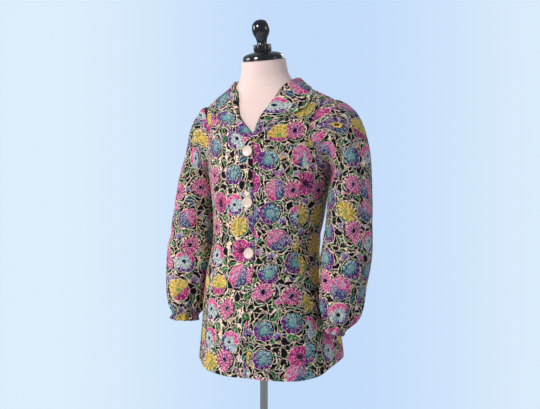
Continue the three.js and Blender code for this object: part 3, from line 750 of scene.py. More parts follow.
def formTorsoRing(z, shrink=0.0):
    angles = np.arange(form["columns"]) * 360 / form["columns"]
    turns = turnFromOval(angles, np.full(len(angles), float(z)))
    sine, cosine, wide, deep = bodyRing(turns, z)
    ease = readTable(bodyRings, z, 6) + shrink
    spread = 1 + 1.9 * smooth(z, 1335, 1352)
    reach = ovalReach(sine, cosine, wide - ease * spread, deep - ease, readTable(bodyRings, z, 5))
    ridge = readTable(bodyRings, z, 2)
    across = readTable(bodyRings, z, 7) + reach * sine
    return np.stack([across, ridge - reach * cosine, np.full(len(angles), float(z))], -1)


def neckRing(y, z, halfWidth, halfDepth, tilt):
    angles = np.radians(np.arange(form["columns"]) * 360 / form["columns"])
    forward = halfDepth * np.cos(angles)
    lean = math.radians(tilt)
    across = halfWidth * np.sin(angles)
    return np.stack([across, y - forward * math.cos(lean), z - forward * math.sin(lean)], -1)


def levelCircle(radius, z):
    angles = np.radians(np.arange(form["columns"]) * 360 / form["columns"])
    return np.stack([radius * np.sin(angles), -radius * np.cos(angles), np.full(len(angles), float(z))], -1)


# The cover runs from shoulders to neck in one soft sweep.
def softenNeck(rings):
    look = form["softNeck"]
    rings = np.array(rings)
    height = rings[1:-1, :, 2].mean(axis=1)
    rise = smooth(height, look["from"], look["from"] + look["fade"])
    share = rise * (1 - smooth(height, look["to"] - look["fade"], look["to"]))
    for _ in range(look["passes"]):
        middle = (rings[:-2] + 2 * rings[1:-1] + rings[2:]) / 4
        rings[1:-1] += (middle - rings[1:-1]) * share[:, None, None]
    return rings


def makeForm(jersey):
    bottom = form["bottomZ"]
    keys = [formTorsoRing(z) for z in form["heights"]] + [neckRing(*row) for row in form["neckRings"]]
    rings = [
        levelCircle(form["socketRadius"], bottom + form["socketDepth"]),
        levelCircle(form["socketRadius"], bottom),
        formTorsoRing(bottom, 3.2),
        formTorsoRing(bottom + 1.0, 1.2),
        *softenNeck(smoothRings(keys, 5)),
    ]
    y, z, wide, _, tilt = form["neckRings"][-1]
    lean = math.radians(tilt)
    up = np.array([0, -math.sin(lean), math.cos(lean)])
    middle = np.array([0, y, z])
    top = rings[-1]
    lip = form["lip"]
    rings.append(middle + (top - middle) * (1 + lip / wide) + up * 0.7)
    rings.append(middle + (top - middle) * (1 + 0.4 * lip / wide) + up * 1.5)
    rings.append(middle + (top - middle) * (1 - 1.6 / wide) + up * 1.9)
    rings.append(middle + (top - middle) * (1 - 6 / wide) + up * 1.9)
    piece = ringSolid("dressForm", rings, jersey)
    declareSolid(piece, "form_body")


# What sits on the neck leans forward with it.
def neckPlace():
    lean = Matrix.Rotation(math.radians(form["lean"]), 4, "X")
    return Matrix.Translation(Vector(form["neckTop"]) * mm) @ lean


neckCap = {
    "corners": [
        (0, 0.3, 0), (49, 0.3, 0.8), (49, 2.4, 0.8), (47.8, 3, 0.5), (48.6, 4.2, 0.8), (47.2, 10.4, 3),
        (42, 14.4, 4), (34, 17, 4), (24, 18.8, 2), (21.5, 19.3, 0.4), (0, 19.3, 0),
    ],
    "segments": 96,
}
neckNut = {"radius": 21.5, "foot": 19.6, "height": 17.4, "sides": 10, "flute": 1.6, "bevel": 1.6}
neckKnob = {
    "bottom": 37.3,
    "curve": [(12.5, 0), (11.8, 5), (14, 14), (19.2, 25), (21, 36), (18.6, 47), (11.5, 54.5), (4, 57)],
    "top": 57.4,
    "segments": 72,
}


def makeNeckParts(gloss):
    place = neckPlace()
    cap = turnedPiece("neckCap", rounded(neckCap["corners"]), neckCap["segments"], gloss, place)
    declareSolid(cap, "neck_cap")
    declareSolid(makeNut(gloss, place), "neck_nut")
    curve = np.array(neckKnob["curve"], float)
    side = [tuple(point) for point in smoothRings(curve, 8)]
    profile = [(0, 0), (11.6, 0), *side[1:], (1.6, neckKnob["top"] - 0.05), (0, neckKnob["top"])]
    profile = [(radius, height + neckKnob["bottom"]) for radius, height in profile]
    knob = turnedPiece("neckKnob", profile, neckKnob["segments"], gloss, place)
    declareSolid(knob, "neck_knob")


# A grip nut: broad flats with a soft flute at each corner, and bevelled rims.
def makeNut(gloss, place):
    look = neckNut
    around = look["sides"] * 12
    angles = np.arange(around) * 2 * math.pi / around
    sector = 2 * math.pi / look["sides"]
    away = (angles + sector / 2) % sector - sector / 2
    flat = look["radius"] * math.cos(sector / 2) / np.cos(away)
    edge = 0.5 + 0.5 * np.cos(angles * look["sides"])
    reach = np.minimum(flat, look["radius"] - 0.3) - look["flute"] * edge**6
    rings = []
    top = look["height"]
    bevel = look["bevel"]
    for height, inset in ((0, bevel), (bevel * 0.35, bevel * 0.3), (bevel, 0), (top - bevel, 0),
                          (top - bevel * 0.35, bevel * 0.3), (top, bevel)):
        ring = np.stack([(reach - inset) * np.cos(angles), (reach - inset) * np.sin(angles)], -1)
        rings.append(np.concatenate([ring, np.full((around, 1), look["foot"] + height)], 1))
    piece = ringSolid("neckNut", rings, gloss)
    piece.data.transform(place)
    return piece


pole = {"radius": 9, "topZ": 868, "segments": 64}
base = {
    "corners": [
        (0, 0, 0), (168.5, 0, 0), (170, 2, 1), (170, 6.4, 2), (164, 10, 5), (50, 15, 10), (28, 18, 4),
        (24, 23, 4), (20, 60, 0), (18, 62, 1), (9.4, 62, 0.4), (9.4, 12, 0), (0, 12, 0),
    ],
    "segments": 128,
    "socketFloor": 12,
}


def makeStand(chromePaintedReflection, enamel):
    foot = base["socketFloor"] + 0.3
    radius, top = pole["radius"], pole["topZ"]
    corners = [(0, foot, 0), (radius, foot, 0.6), (radius, top, 0.8), (0, top, 0)]
    rod = turnedPiece("standPole", rounded(corners), pole["segments"], chromePaintedReflection)
    declareSolid(rod, "pole")
    plate = turnedPiece("standBase", rounded(base["corners"]), base["segments"], enamel)
    declareSolid(plate, "base")


button = {
    "corners": [
        (0, 0, 0), (4.5, 0, 0), (11.1, 1, 0.5), (12.7, 2.6, 1), (12.2, 4.05, 0.8), (10.9, 4.6, 0.6),
        (8.9, 3.85, 1), (5, 3.3, 1.5), (0, 3.2, 0),
    ],
    "heights": [1230, 1113, 997],
    "lift": 0.45,
    "segments": 64,
}


def makeButtons(ivory):
    for i, z in enumerate(button["heights"]):
        seat = onBody(0.0, float(z), button["lift"])
        facing = Vector(bodyNormal(np.float64(0), np.float64(z)))
        turn = facing.to_track_quat("Z", "Y").to_matrix().to_4x4()
        place = Matrix.Translation(Vector(seat) * mm) @ turn
        piece = turnedPiece(f"button{i + 1}", rounded(button["corners"]), button["segments"], ivory, place)
        declareSolid(piece, f"button_{i + 1}")


# Inks and finishes, as the eye reads them from 0 to 255.
paint = {
    "cream": (252, 226, 200), "peach": (250, 208, 166), "lilac": (206, 168, 188), "white": (232, 222, 210),
    "hotPink": (222, 46, 134), "pink": (228, 100, 160), "magenta": (134, 18, 104), "purple": (82, 32, 122),
    "teal": (14, 78, 104), "sea": (42, 120, 142), "paleBlue": (134, 180, 188), "navy": (18, 28, 48),
    "denim": (34, 70, 106), "green": (40, 112, 66), "deepGreen": (18, 56, 40), "lime": (116, 156, 78),
    "yellow": (244, 206, 84), "mustard": (206, 168, 76), "brown": (76, 42, 34), "black": (9, 8, 11),
    # The chrome is the pole's metal colour with a warm tint painted in: a painted reflection of warm
    # surroundings.
    "jersey": (247, 217, 209), "ivory": (232, 206, 190), "gloss": (14, 13, 15), "chromePaintedReflection": (214, 208, 200),
    "enamel": (30, 30, 34), "floor": (226, 232, 240),
}


def ink(name):
    linear = []
    for value in paint[name]:
        share = value / 255
        linear.append(share / 12.92 if share < 0.04045 else ((share + 0.055) / 1.055) ** 2.4)
    return (*linear, 1)


def plug(tree, value, socket):
    if isinstance(value, Wire):
        tree.links.new(value.socket, socket)
    elif isinstance(value, str) and value in paint:
        socket.default_value = ink(value)
    else:
        socket.default_value = value


# One output of a node, which can be used in plain arithmetic.
class Wire:
    def __init__(self, tree, socket):
        self.tree = tree
        self.socket = socket

    def math(self, operation, *values):
        node = self.tree.nodes.new("ShaderNodeMath")
        node.operation = operation
        for value, socket in zip(values, node.inputs):
            plug(self.tree, value, socket)
        return Wire(self.tree, node.outputs[0])

    def __add__(self, other):
        return self.math("ADD", self, other)

    def __sub__(self, other):
        return self.math("SUBTRACT", self, other)

    def __rsub__(self, other):
        return self.math("SUBTRACT", other, self)

    def __mul__(self, other):
        return self.math("MULTIPLY", self, other)

    def __truediv__(self, other):
        return self.math("DIVIDE", self, other)

    def __pow__(self, other):
        return self.math("POWER", self, other)

    __radd__ = __add__
    __rmul__ = __mul__

    def above(self, edge):
        return self.math("GREATER_THAN", self, edge)

    def below(self, edge):
        return self.math("LESS_THAN", self, edge)

    def between(self, low, high):
        return self.above(low) * self.below(high)

    def cos(self):
        return self.math("COSINE", self)

    def sin(self):
        return self.math("SINE", self)

    def size(self):
        return self.math("ABSOLUTE", self)

    def fraction(self):
        return self.math("FRACT", self)

    # 0 at low, 1 at high, and a soft step between them.
    def ramp(self, low, high):
        node = self.tree.nodes.new("ShaderNodeMapRange")
        node.interpolation_type = "SMOOTHSTEP"
        for value, socket in zip((self, low, high), node.inputs):
            plug(self.tree, value, socket)
        return Wire(self.tree, node.outputs[0])


def blend(tree, share, low, high):
    node = tree.nodes.new("ShaderNodeMix")
    node.data_type = "RGBA"
    for value, socket in zip((share, low, high), (node.inputs[0], node.inputs[6], node.inputs[7])):
        plug(tree, value, socket)
    return Wire(tree, node.outputs[2])


def joined(tree, x, y, z=0.0):
    node = tree.nodes.new("ShaderNodeCombineXYZ")
    for value, socket in zip((x, y, z), node.inputs):
        plug(tree, value, socket)
    return Wire(tree, node.outputs[0])


def parts(tree, vector):
    node = tree.nodes.new("ShaderNodeSeparateXYZ")
    plug(tree, vector, node.inputs[0])
    return [Wire(tree, output) for output in node.outputs]


def scaled(tree, vector, scale, offset=(0, 0, 0)):
    node = tree.nodes.new("ShaderNodeVectorMath")
    node.operation = "MULTIPLY_ADD"
    plug(tree, vector, node.inputs[0])
    node.inputs[1].default_value = (scale, scale, scale)
    plug(tree, offset, node.inputs[2])
    return Wire(tree, node.outputs[0])


# Noise from 0 to 1 as a value and a colour of three such values.
def noise(tree, vector, scale, detail=1.0, rough=0.5, dimensions="2D"):
    node = tree.nodes.new("ShaderNodeTexNoise")
    node.noise_dimensions = dimensions
    plug(tree, vector, node.inputs["Vector"])
    node.inputs["Scale"].default_value = scale
    node.inputs["Detail"].default_value = detail
    node.inputs["Roughness"].default_value = rough
    return Wire(tree, node.outputs[0]), Wire(tree, node.outputs[1])


# A node group with named sockets. Returns its tree, its inputs as wires and its output node.
def newGroup(name, inputs, outputs):
    tree = bpy.data.node_groups.new(name, "ShaderNodeTree")
    kinds = {"value": "NodeSocketFloat", "vector": "NodeSocketVector", "color": "NodeSocketColor"}
    for socketName, kind in inputs.items():
        tree.interface.new_socket(name=socketName, in_out="INPUT", socket_type=kinds[kind])
    for socketName, kind in outputs.items():
        tree.interface.new_socket(name=socketName, in_out="OUTPUT", socket_type=kinds[kind])
    start = tree.nodes.new("NodeGroupInput")
    wires = {socketName: Wire(tree, start.outputs[socketName]) for socketName in inputs}
    return tree, wires, tree.nodes.new("NodeGroupOutput")


def useGroup(tree, group, values):
    node = tree.nodes.new("ShaderNodeGroup")
    node.node_tree = group
    for socketName, value in values.items():
        plug(tree, value, node.inputs[socketName])
    return {output.name: Wire(tree, output) for output in node.outputs}


# A material whose shader takes the given fixed numbers on its own sockets.
def newMaterial(name, fixed):
    material = bpy.data.materials.new(name)
    material.use_nodes = True
    tree = material.node_tree
    shader = tree.nodes["Principled BSDF"]
    for socketName, value in fixed.items():
        plug(tree, value, shader.inputs[socketName])
    return material, tree, shader


def bumpInto(tree, shader, height, strength, distance):
    node = tree.nodes.new("ShaderNodeBump")
    node.inputs["Strength"].default_value = strength
    node.inputs["Distance"].default_value = distance
    plug(tree, height, node.inputs["Height"])
    tree.links.new(node.outputs[0], shader.inputs["Normal"])


def clothMap(tree):
    node = tree.nodes.new("ShaderNodeUVMap")
    node.uv_map = "clothMap"
    return Wire(tree, node.outputs[0])


def solidMap(tree):
    node = tree.nodes.new("ShaderNodeTexCoord")
    return Wire(tree, node.outputs["Object"])


fullTurn = 6.283

# The print: big blooms over buds, over leaves, on a cream ground. Sizes are in metres. bloomShares
# gives how often each bloom comes up, in the order of bloomKinds.
printLook = {
    "bloomCell": 0.063,
    "bloomLoose": 0.5,
    "bloomEdge": 0.4,
    "bloomShares": (0.18, 0.17, 0.2, 0.14, 0.13, 0.09, 0.03, 0.06),
    "budCell": 0.036,
    "leafCells": (0.029, 0.027, 0.025, 0.0275, 0.0255),
    "leafLoose": 0.35,
    "leafSize": 0.54,
    "outlinedFrom": 3,
    "warp": 0.0032,
    "fineWarp": 0.0012,
    "weave": 0.0007,
}


# Where a point lies from the middle of the motif nearest to it, in cells, and three random picks.
def scatterGroup():
    tree, given, end = newGroup(
        "scatter", {"Place": "vector", "Cell": "value", "Shift": "vector", "Loose": "value"},
        {"Radius": "value", "Angle": "value", "PickA": "value", "PickB": "value", "PickC": "value"})
    x, y, _ = parts(tree, given["Place"])
    shiftX, shiftY, _ = parts(tree, given["Shift"])
    place = joined(tree, (x + shiftX) / given["Cell"], (y + shiftY) / given["Cell"])
    cells = tree.nodes.new("ShaderNodeTexVoronoi")
    cells.voronoi_dimensions = "2D"
    plug(tree, place, cells.inputs["Vector"])
    cells.inputs["Scale"].default_value = 1
    plug(tree, given["Loose"], cells.inputs["Randomness"])
    placeX, placeY, _ = parts(tree, place)
    middleX, middleY, _ = parts(tree, Wire(tree, cells.outputs["Position"]))
    plug(tree, Wire(tree, cells.outputs["Distance"]), end.inputs["Radius"])
    plug(tree, placeY.math("ARCTAN2", placeY - middleY, placeX - middleX), end.inputs["Angle"])
    picks = parts(tree, Wire(tree, cells.outputs["Color"]))
    for pick, socketName in zip(picks, ("PickA", "PickB", "PickC")):
        plug(tree, pick, end.inputs[socketName])
    return tree


# Brushed ink: a streak that runs out from the middle of a motif.
def streakGroup():
    tree, given, end = newGroup(
        "inkStreak", {"Radius": "value", "Angle": "value", "Count": "value", "Seed": "value"},
        {"Streak": "value"})
    turn = given["Angle"]
    x = turn.cos() * given["Count"] + given["Seed"] * 37
    y = turn.sin() * given["Count"]
    value, _ = noise(tree, joined(tree, x, y, given["Radius"] * 2.2), 1, 1, 0.6, "3D")
    plug(tree, value.ramp(0.25, 0.75), end.inputs["Streak"])
    return tree


# Each bloom takes the radius, from 0 in the middle to 1 at its rim, the angle, a streak and a
# speckle, and gives a colour.
def zinnia(tree, radius, angle, streak, speckle):
    petals = (angle * 14 + streak * 3).cos()
    color = blend(tree, petals.ramp(-0.6, 0.5), "magenta", "hotPink")
    color = blend(tree, (streak * 0.5 + speckle).ramp(0.72, 0.92), color, "pink")
    color = blend(tree, (streak * 0.4 + speckle).ramp(0.98, 1.08), color, "white")
    heart = blend(tree, speckle.ramp(0.42, 0.55), "purple", "magenta")
    color = blend(tree, (radius + streak * 0.2).ramp(0.5, 0.42) * speckle.below(0.66), color, heart)
    color = blend(tree, radius.below(0.19), color, "black")
    beads = blend(tree, (angle * 17).cos().ramp(-0.5, -0.1), "cream", "black")
    color = blend(tree, radius.above(0.84) * angle.sin().above(-0.35), color, beads)
    return blend(tree, radius.above(0.8) * (angle + 0.9).cos().above(0.55), color, "deepGreen")


def rose(tree, radius, angle, streak, speckle):
    curl = (radius * 2.1 + angle / fullTurn + streak * 0.4).fraction()
    color = blend(tree, curl.ramp(0.3, 0.8), "teal", "sea")
    color = blend(tree, (angle - 1.1).cos().ramp(0.1, 0.8) * curl.ramp(0.4, 0.8), color, "paleBlue")
    color = blend(tree, (curl + speckle * 0.1).below(0.2) * radius.above(0.2), color, "black")
    color = blend(tree, (curl - speckle * 0.1).between(0.2, 0.3) * streak.above(0.45), color, "cream")
    color = blend(tree, radius.ramp(0.4, 0.26) * 0.6, color, "paleBlue")
    color = blend(tree, radius.below(0.16) * speckle.above(0.45), color, "lime")
    crescent = (radius + streak * 0.12).ramp(0.66, 0.72) * (angle + 2.5).cos().above(-0.1)
    color = blend(tree, crescent, color, blend(tree, speckle.above(0.62), "purple", "magenta"))
    return blend(tree, radius.above(0.9) * (angle - 0.7).cos().above(0.4), color, "black")


def aster(tree, radius, angle, streak, speckle):
    petals = (angle * 15 + streak * 4).cos()
    color = blend(tree, streak.ramp(0.3, 0.6), "paleBlue", "white")
    color = blend(tree, petals.ramp(0.55, 0.8) * radius.above(0.3), color, "sea")
    jagged = radius + petals * 0.07 + streak * 0.18
    crown = (angle - 1.3).cos().above(0.25) * jagged.above(0.68)
    crownInk = blend(tree, (streak + speckle * 0.6).ramp(0.7, 0.9), "hotPink", "pink")
    color = blend(tree, crown, color, crownInk)
    side = (angle + 2.45).cos().above(0.3) * jagged.above(0.74)
    color = blend(tree, side, color, blend(tree, speckle.above(0.7), "purple", "magenta"))
    color = blend(tree, radius.above(0.93) * (angle + 2.9).cos().above(0.5), color, "sea")
    color = blend(tree, (radius + speckle * 0.08).ramp(0.28, 0.22), color, "teal")
    return blend(tree, radius.below(0.15), color, "black")


def yellowBloom(tree, radius, angle, streak, speckle):
    color = blend(tree, (speckle * 0.6 + streak * 0.4).ramp(0.35, 0.65), "mustard", "yellow")
    ticks = (angle * 11 + speckle * 5 + radius * 7).cos().above(0.45)
    ticks = ticks * radius.above(0.3) * speckle.above(0.45)
    color = blend(tree, ticks, color, "brown")
    heart = (radius + streak * 0.25).below(0.62) * (angle + 0.5).cos().above(0.1) * speckle.above(0.4)
    color = blend(tree, heart, color, blend(tree, streak.above(0.5), "lime", "green"))
    beads = blend(tree, (angle * 15 + speckle * 2).cos().above(-0.3), "cream", "brown")
    color = blend(tree, radius.above(0.8) * (angle - 1.9).cos().above(0.2), color, beads)
    return blend(tree, radius.above(0.86) * (angle + 1.2).cos().above(0.6), color, "green")


def ballBloom(tree, radius, angle, streak, speckle):
    color = blend(tree, (angle - 2.4).cos().ramp(-0.1, 0.15), "purple", "hotPink")
    color = blend(tree, (streak * 0.7 + speckle).ramp(0.9, 1.05), color, "lilac")
    low = (angle.sin() * radius + streak * 0.3).below(0.02)
    stripes = (angle.cos() * radius * 16 + speckle * 3).cos()
    color = blend(tree, low, color, blend(tree, stripes.above(0.35), "denim", "purple"))
    color = blend(tree, low * (angle - 2.9).cos().above(0.5), color, "hotPink")
    streaks = (angle * 8 + streak * 5).cos().ramp(0.7, 0.9) * radius.between(0.2, 0.75)
    color = blend(tree, streaks, color, "paleBlue")
    return blend(tree, radius.ramp(0.9, 1.0) * 0.5, color, "navy")


def poppy(tree, radius, angle, streak, speckle):
    color = blend(tree, (angle * 5 + streak * 4).cos().ramp(-0.4, 0.7), "magenta", "hotPink")
    color = blend(tree, (streak * 0.5 + speckle).ramp(0.95, 1.05) * radius.above(0.3), color, "pink")
    color = blend(tree, (angle + 0.6).cos().above(0.75) * speckle.above(0.5), color, "purple")
    blot = (radius + speckle * 0.3 + streak * 0.2).below(0.6)
    color = blend(tree, blot, color, "black")
    return blend(tree, (radius + streak * 0.3).below(0.3) * speckle.above(0.6), color, "magenta")


def pansy(tree, radius, angle, streak, speckle):
    color = blend(tree, streak.ramp(0.3, 0.7), "purple", "navy")
    color = blend(tree, (angle * 7 + streak * 4).cos().ramp(0.5, 0.9) * 0.8, color, "lilac")
    low = (angle.sin() * radius + streak * 0.3).below(-0.25)
    color = blend(tree, low, color, blend(tree, speckle.above(0.5), "teal", "denim"))
    color = blend(tree, (radius + streak * 0.2).ramp(0.46, 0.4), color, "yellow")
    return blend(tree, (radius + speckle * 0.1).ramp(0.26, 0.2), color, "brown")


def fanBloom(tree, radius, angle, streak, speckle):
    color = blend(tree, streak.ramp(0.35, 0.65), "yellow", "mustard")
    ribs = (angle * 12 + streak * 3).cos().above(0.62) * radius.above(0.3) * speckle.above(0.35)
    color = blend(tree, ribs * 0.75, color, "brown")
    foot = (angle.sin() * radius + speckle * 0.3).ramp(-0.1, -0.22)
    color = blend(tree, foot, color, blend(tree, speckle.above(0.5), "magenta", "hotPink"))
    return blend(tree, radius.ramp(0.26, 0.18), color, "lime")


bloomKinds = [zinnia, rose, aster, yellowBloom, ballBloom, poppy, pansy, fanBloom]


def bloomGroup(kind):
    tree, given, end = newGroup(
        kind.__name__, {"Radius": "value", "Angle": "value", "Streak": "value", "Speckle": "value"},
        {"Color": "color"})
    color = kind(tree, given["Radius"], given["Angle"], given["Streak"], given["Speckle"])
    plug(tree, color, end.inputs["Color"])
    return tree


# A leaf lies along its own x, from -1 to 1. Most are black, or black and green by halves.
def leafGroup():
    tree, given, end = newGroup(
        "printLeaf",
        {"Radius": "value", "Angle": "value", "Size": "value", "Pick": "value", "Speckle": "value"},
        {"Color": "color", "Mask": "value", "Halo": "value"})
    x = given["Angle"].cos() * given["Radius"] / given["Size"]
    y = given["Angle"].sin() * given["Radius"] / given["Size"] + x * x * 0.2 - 0.09
    wide = (1 - x * x) * (x * 0.3 + 0.56)
    edge = wide - y.size() + (given["Speckle"] - 0.5) * 0.16
    pick = given["Pick"]
    veined = blend(tree, (x * 11 + y.size() * 9).cos().above(0.35), "green", "deepGreen")
    veined = blend(tree, (x * 11 + y.size() * 9).cos().below(-0.8), veined, "lime")
    shaded = blend(tree, (y + given["Speckle"] * 0.3).below(0.02), "green", "black")
    greens = blend(tree, given["Speckle"].above(0.55), "green", "deepGreen")
    halved = blend(tree, y.above(0.04), "black", greens)
    tipped = blend(tree, (y + x * 0.3).above(0.3), "black", "green")
    color = blend(tree, pick.above(0.36), "black", tipped)
    color = blend(tree, pick.above(0.46), color, halved)
    color = blend(tree, pick.above(0.64), color, shaded)
    color = blend(tree, pick.above(0.8), color, veined)
    color = blend(tree, pick.above(0.95), color, "teal")
    vein = (y.size() + (1 - pick) * 0.02).below(0.035) * pick.above(0.4) * x.below(0.6)
    color = blend(tree, vein * 0.85, color, "cream")
    color = blend(tree, edge.below(0.09) * pick.above(0.8), color, "deepGreen")
    plug(tree, color, end.inputs["Color"])
    plug(tree, edge.above(0), end.inputs["Mask"])
    plug(tree, edge.above(-0.1), end.inputs["Halo"])
    return tree


# A bud: a few petals, over a dark foot.
def budGroup():
    tree, given, end = newGroup(
        "printBud", {"Radius": "value", "Angle": "value", "Pick": "value", "Speckle": "value"},
        {"Color": "color", "Mask": "value", "Halo": "value"})
    radius, angle, pick = given["Radius"] / 0.3, given["Angle"], given["Pick"]
    petals = (angle * 5).cos() * 0.16 + (given["Speckle"] - 0.5) * 0.3
    color = blend(tree, pick.above(0.2), "purple", "hotPink")
    color = blend(tree, pick.above(0.3), color, "purple")
    color = blend(tree, pick.above(0.38), color, "magenta")
    color = blend(tree, pick.above(0.44), color, "mustard")
    color = blend(tree, (angle - 1.2).cos().above(0.35) * radius.above(0.4), color, "sea")
    color = blend(tree, (given["Speckle"] + radius * 0.2).above(0.78), color, "lilac")
    foot = (radius * angle.sin() + given["Speckle"] * 0.2).below(-0.25)
    color = blend(tree, foot, color, "black")
    edge = 0.86 + petals - radius
    grown = pick.below(0.5)
    plug(tree, color, end.inputs["Color"])
    plug(tree, edge.above(0) * grown, end.inputs["Mask"])
    plug(tree, edge.above(-0.1) * grown, end.inputs["Halo"])
    return tree


# The whole print in one colour, for the face of the cloth and its paler back.
def printGroup():
    tree, given, end = newGroup("flowerPrint", {"Place": "vector"}, {"Color": "color", "Ink": "value"})
    look = printLook
    _, drift = noise(tree, given["Place"], 75)
    _, fine = noise(tree, given["Place"], 330)
    place = given["Place"]
    for wobble, reach in ((drift, look["warp"]), (fine, look["fineWarp"])):
        centred = scaled(tree, wobble, 2 * reach, (-reach, -reach, 0))
        place = addVectors(tree, place, centred)
    speckle, _ = noise(tree, given["Place"], 460, 1, 0.6)
    speckle = speckle.ramp(0.25, 0.75)
    cloud, _ = noise(tree, given["Place"], 120, 1)
    ground = blend(tree, cloud.ramp(0.56, 0.62), "cream", "lilac")
    ground = blend(tree, cloud.ramp(0.44, 0.38), ground, "peach")
    scatter, streaks = scatterGroup(), streakGroup()
    leaf, bud = leafGroup(), budGroup()
    color = ground
    for i, cell in enumerate(look["leafCells"]):
        spot = useGroup(tree, scatter, {
            "Place": place, "Cell": cell, "Shift": (0.31 + 0.17 * i, 0.83 - 0.29 * i, 0),
            "Loose": look["leafLoose"]})
        made = useGroup(tree, leaf, {
            "Radius": spot["Radius"], "Angle": spot["Angle"] + spot["PickA"] * fullTurn,
            "Size": look["leafSize"], "Pick": spot["PickB"], "Speckle": speckle})
        if i >= look["outlinedFrom"]:
            color = blend(tree, made["Halo"], color, ground)
            color = blend(tree, made["Mask"], color, made["Color"])
        else:
            dark = blend(tree, spot["PickB"].above(0.68), "black", "deepGreen")
            color = blend(tree, made["Mask"], color, dark)
    spot = useGroup(tree, scatter, {
        "Place": place, "Cell": look["budCell"], "Shift": (0.57, 0.21, 0), "Loose": 0.7})
    made = useGroup(tree, bud, {
        "Radius": spot["Radius"], "Angle": spot["Angle"] + (spot["PickA"] - 0.5) * 2, "Pick": spot["PickB"],
        "Speckle": speckle})
    color = blend(tree, made["Halo"], color, ground)
    color = blend(tree, made["Mask"], color, made["Color"])
    spot = useGroup(tree, scatter, {
        "Place": place, "Cell": look["bloomCell"], "Shift": (0.11, 0.43, 0), "Loose": look["bloomLoose"]})
    lean = spot["Angle"] + (spot["PickC"] - 0.5) * 1.4
    streak = useGroup(tree, streaks, {
        "Radius": spot["Radius"] * 8, "Angle": lean, "Count": 4.2, "Seed": spot["PickC"]})["Streak"]
    rim = look["bloomEdge"] * (0.92 + spot["PickB"] * 0.14)
    scallop = (lean * 9).cos() * 0.03 + (streak - 0.5) * 0.08
    radius = spot["Radius"] / rim + scallop
    # Two or three dark leaves look out from behind each bloom.
    lobes = (lean * 3 + spot["PickB"] * fullTurn).cos()
    reach = 1.1 + lobes * 0.22 - radius
    behind = blend(tree, (lean * 3 + spot["PickB"] * fullTurn).sin().above(0.25), "black", "green")
    color = blend(tree, (reach + 0.07).above(0) * lobes.above(0), color, ground)
    color = blend(tree, reach.above(0) * lobes.above(0), color, behind)
    bloom = None
    below = 0
    for share, kind in zip(look["bloomShares"], bloomKinds):
        made = useGroup(tree, bloomGroup(kind), {
            "Radius": radius, "Angle": lean, "Streak": streak, "Speckle": speckle})["Color"]
        bloom = made if bloom is None else blend(tree, spot["PickA"].above(below), bloom, made)
        below += share
    strokes = (lean * 11 + streak * 5).cos()
    dark = strokes.above(0.72) * radius.above(0.3) * speckle.above(0.42)
    bloom = blend(tree, dark * 0.8, bloom, blend(tree, spot["PickC"].above(0.5), "black", "navy"))
    pale = strokes.below(-0.8) * radius.between(0.25, 0.92) * speckle.above(0.5)
    bloom = blend(tree, pale * 0.75, bloom, "cream")
    color = blend(tree, radius.below(1.05), color, ground)
    color = blend(tree, radius.below(1.0), color, bloom)
    plug(tree, color, end.inputs["Color"])
    plug(tree, speckle, end.inputs["Ink"])
    return tree


def addVectors(tree, first, second):
    node = tree.nodes.new("ShaderNodeVectorMath")
    plug(tree, first, node.inputs[0])
    plug(tree, second, node.inputs[1])
    return Wire(tree, node.outputs[0])


# A fine crinkled weave, the same on both sides of the cloth.
def weaveGroup():
    tree, given, end = newGroup("crepeWeave", {"Place": "vector"}, {"Height": "value"})
    x, y, _ = parts(tree, given["Place"])
    pitch = 2 * math.pi / printLook["weave"]
    threads = (x * pitch).cos() + (y * pitch).cos()
    crinkle, _ = noise(tree, given["Place"], 260, 2, 0.6)
    plug(tree, threads * 0.18 + crinkle, end.inputs["Height"])
    return tree


def makeCloth():
    flowers, weave = printGroup(), weaveGroup()
    sides = []
    for name, key, fade in (("printCloth", "print", 0.0), ("printWrongSide", "wrong", 0.55)):
        material, tree, shader = newMaterial(name, finish[key])
        place = clothMap(tree)
        made = useGroup(tree, flowers, {"Place": place})
        color = blend(tree, fade, made["Color"], "cream") if fade else made["Color"]
        plug(tree, color, shader.inputs["Base Color"])
        height = useGroup(tree, weave, {"Place": place})["Height"]
        bumpInto(tree, shader, height, 0.3, 0.0006)
        sides.append(material)
    return sides


finish = {
    "print": {"Roughness": 0.78, "Sheen Weight": 0.03, "Sheen Roughness": 0.5, "Specular IOR Level": 0.16},
    "wrong": {"Roughness": 0.85, "Sheen Weight": 0.04, "Specular IOR Level": 0.15},
    "jersey": {"Roughness": 0.82, "Sheen Weight": 0.25, "Sheen Roughness": 0.5, "Specular IOR Level": 0.25},
    "ivory": {"Roughness": 0.28, "Coat Weight": 0.25, "Coat Roughness": 0.12, "Specular IOR Level": 0.5},
    "gloss": {"Roughness": 0.16, "Coat Weight": 0.6, "Coat Roughness": 0.06, "Specular IOR Level": 0.5},
    "chromePaintedReflection": {"Metallic": 1.0},
    "enamel": {"Roughness": 0.38, "Coat Weight": 0.3, "Coat Roughness": 0.2},
    "floor": {"Roughness": 0.9, "Specular IOR Level": 0.1},
}


# Wear that any smooth finish here may show: soft clouding and fine dust.
def wearGroup():
    tree, given, end = newGroup("softWear", {"Place": "vector"}, {"Cloud": "value", "Dust": "value"})
    cloud, _ = noise(tree, given["Place"], 22, 3, 0.5, "3D")
    dust, _ = noise(tree, given["Place"], 900, 1, 0.5, "3D")
    plug(tree, cloud.ramp(0.3, 0.75), end.inputs["Cloud"])
    plug(tree, dust.ramp(0.62, 0.8), end.inputs["Dust"])
    return tree


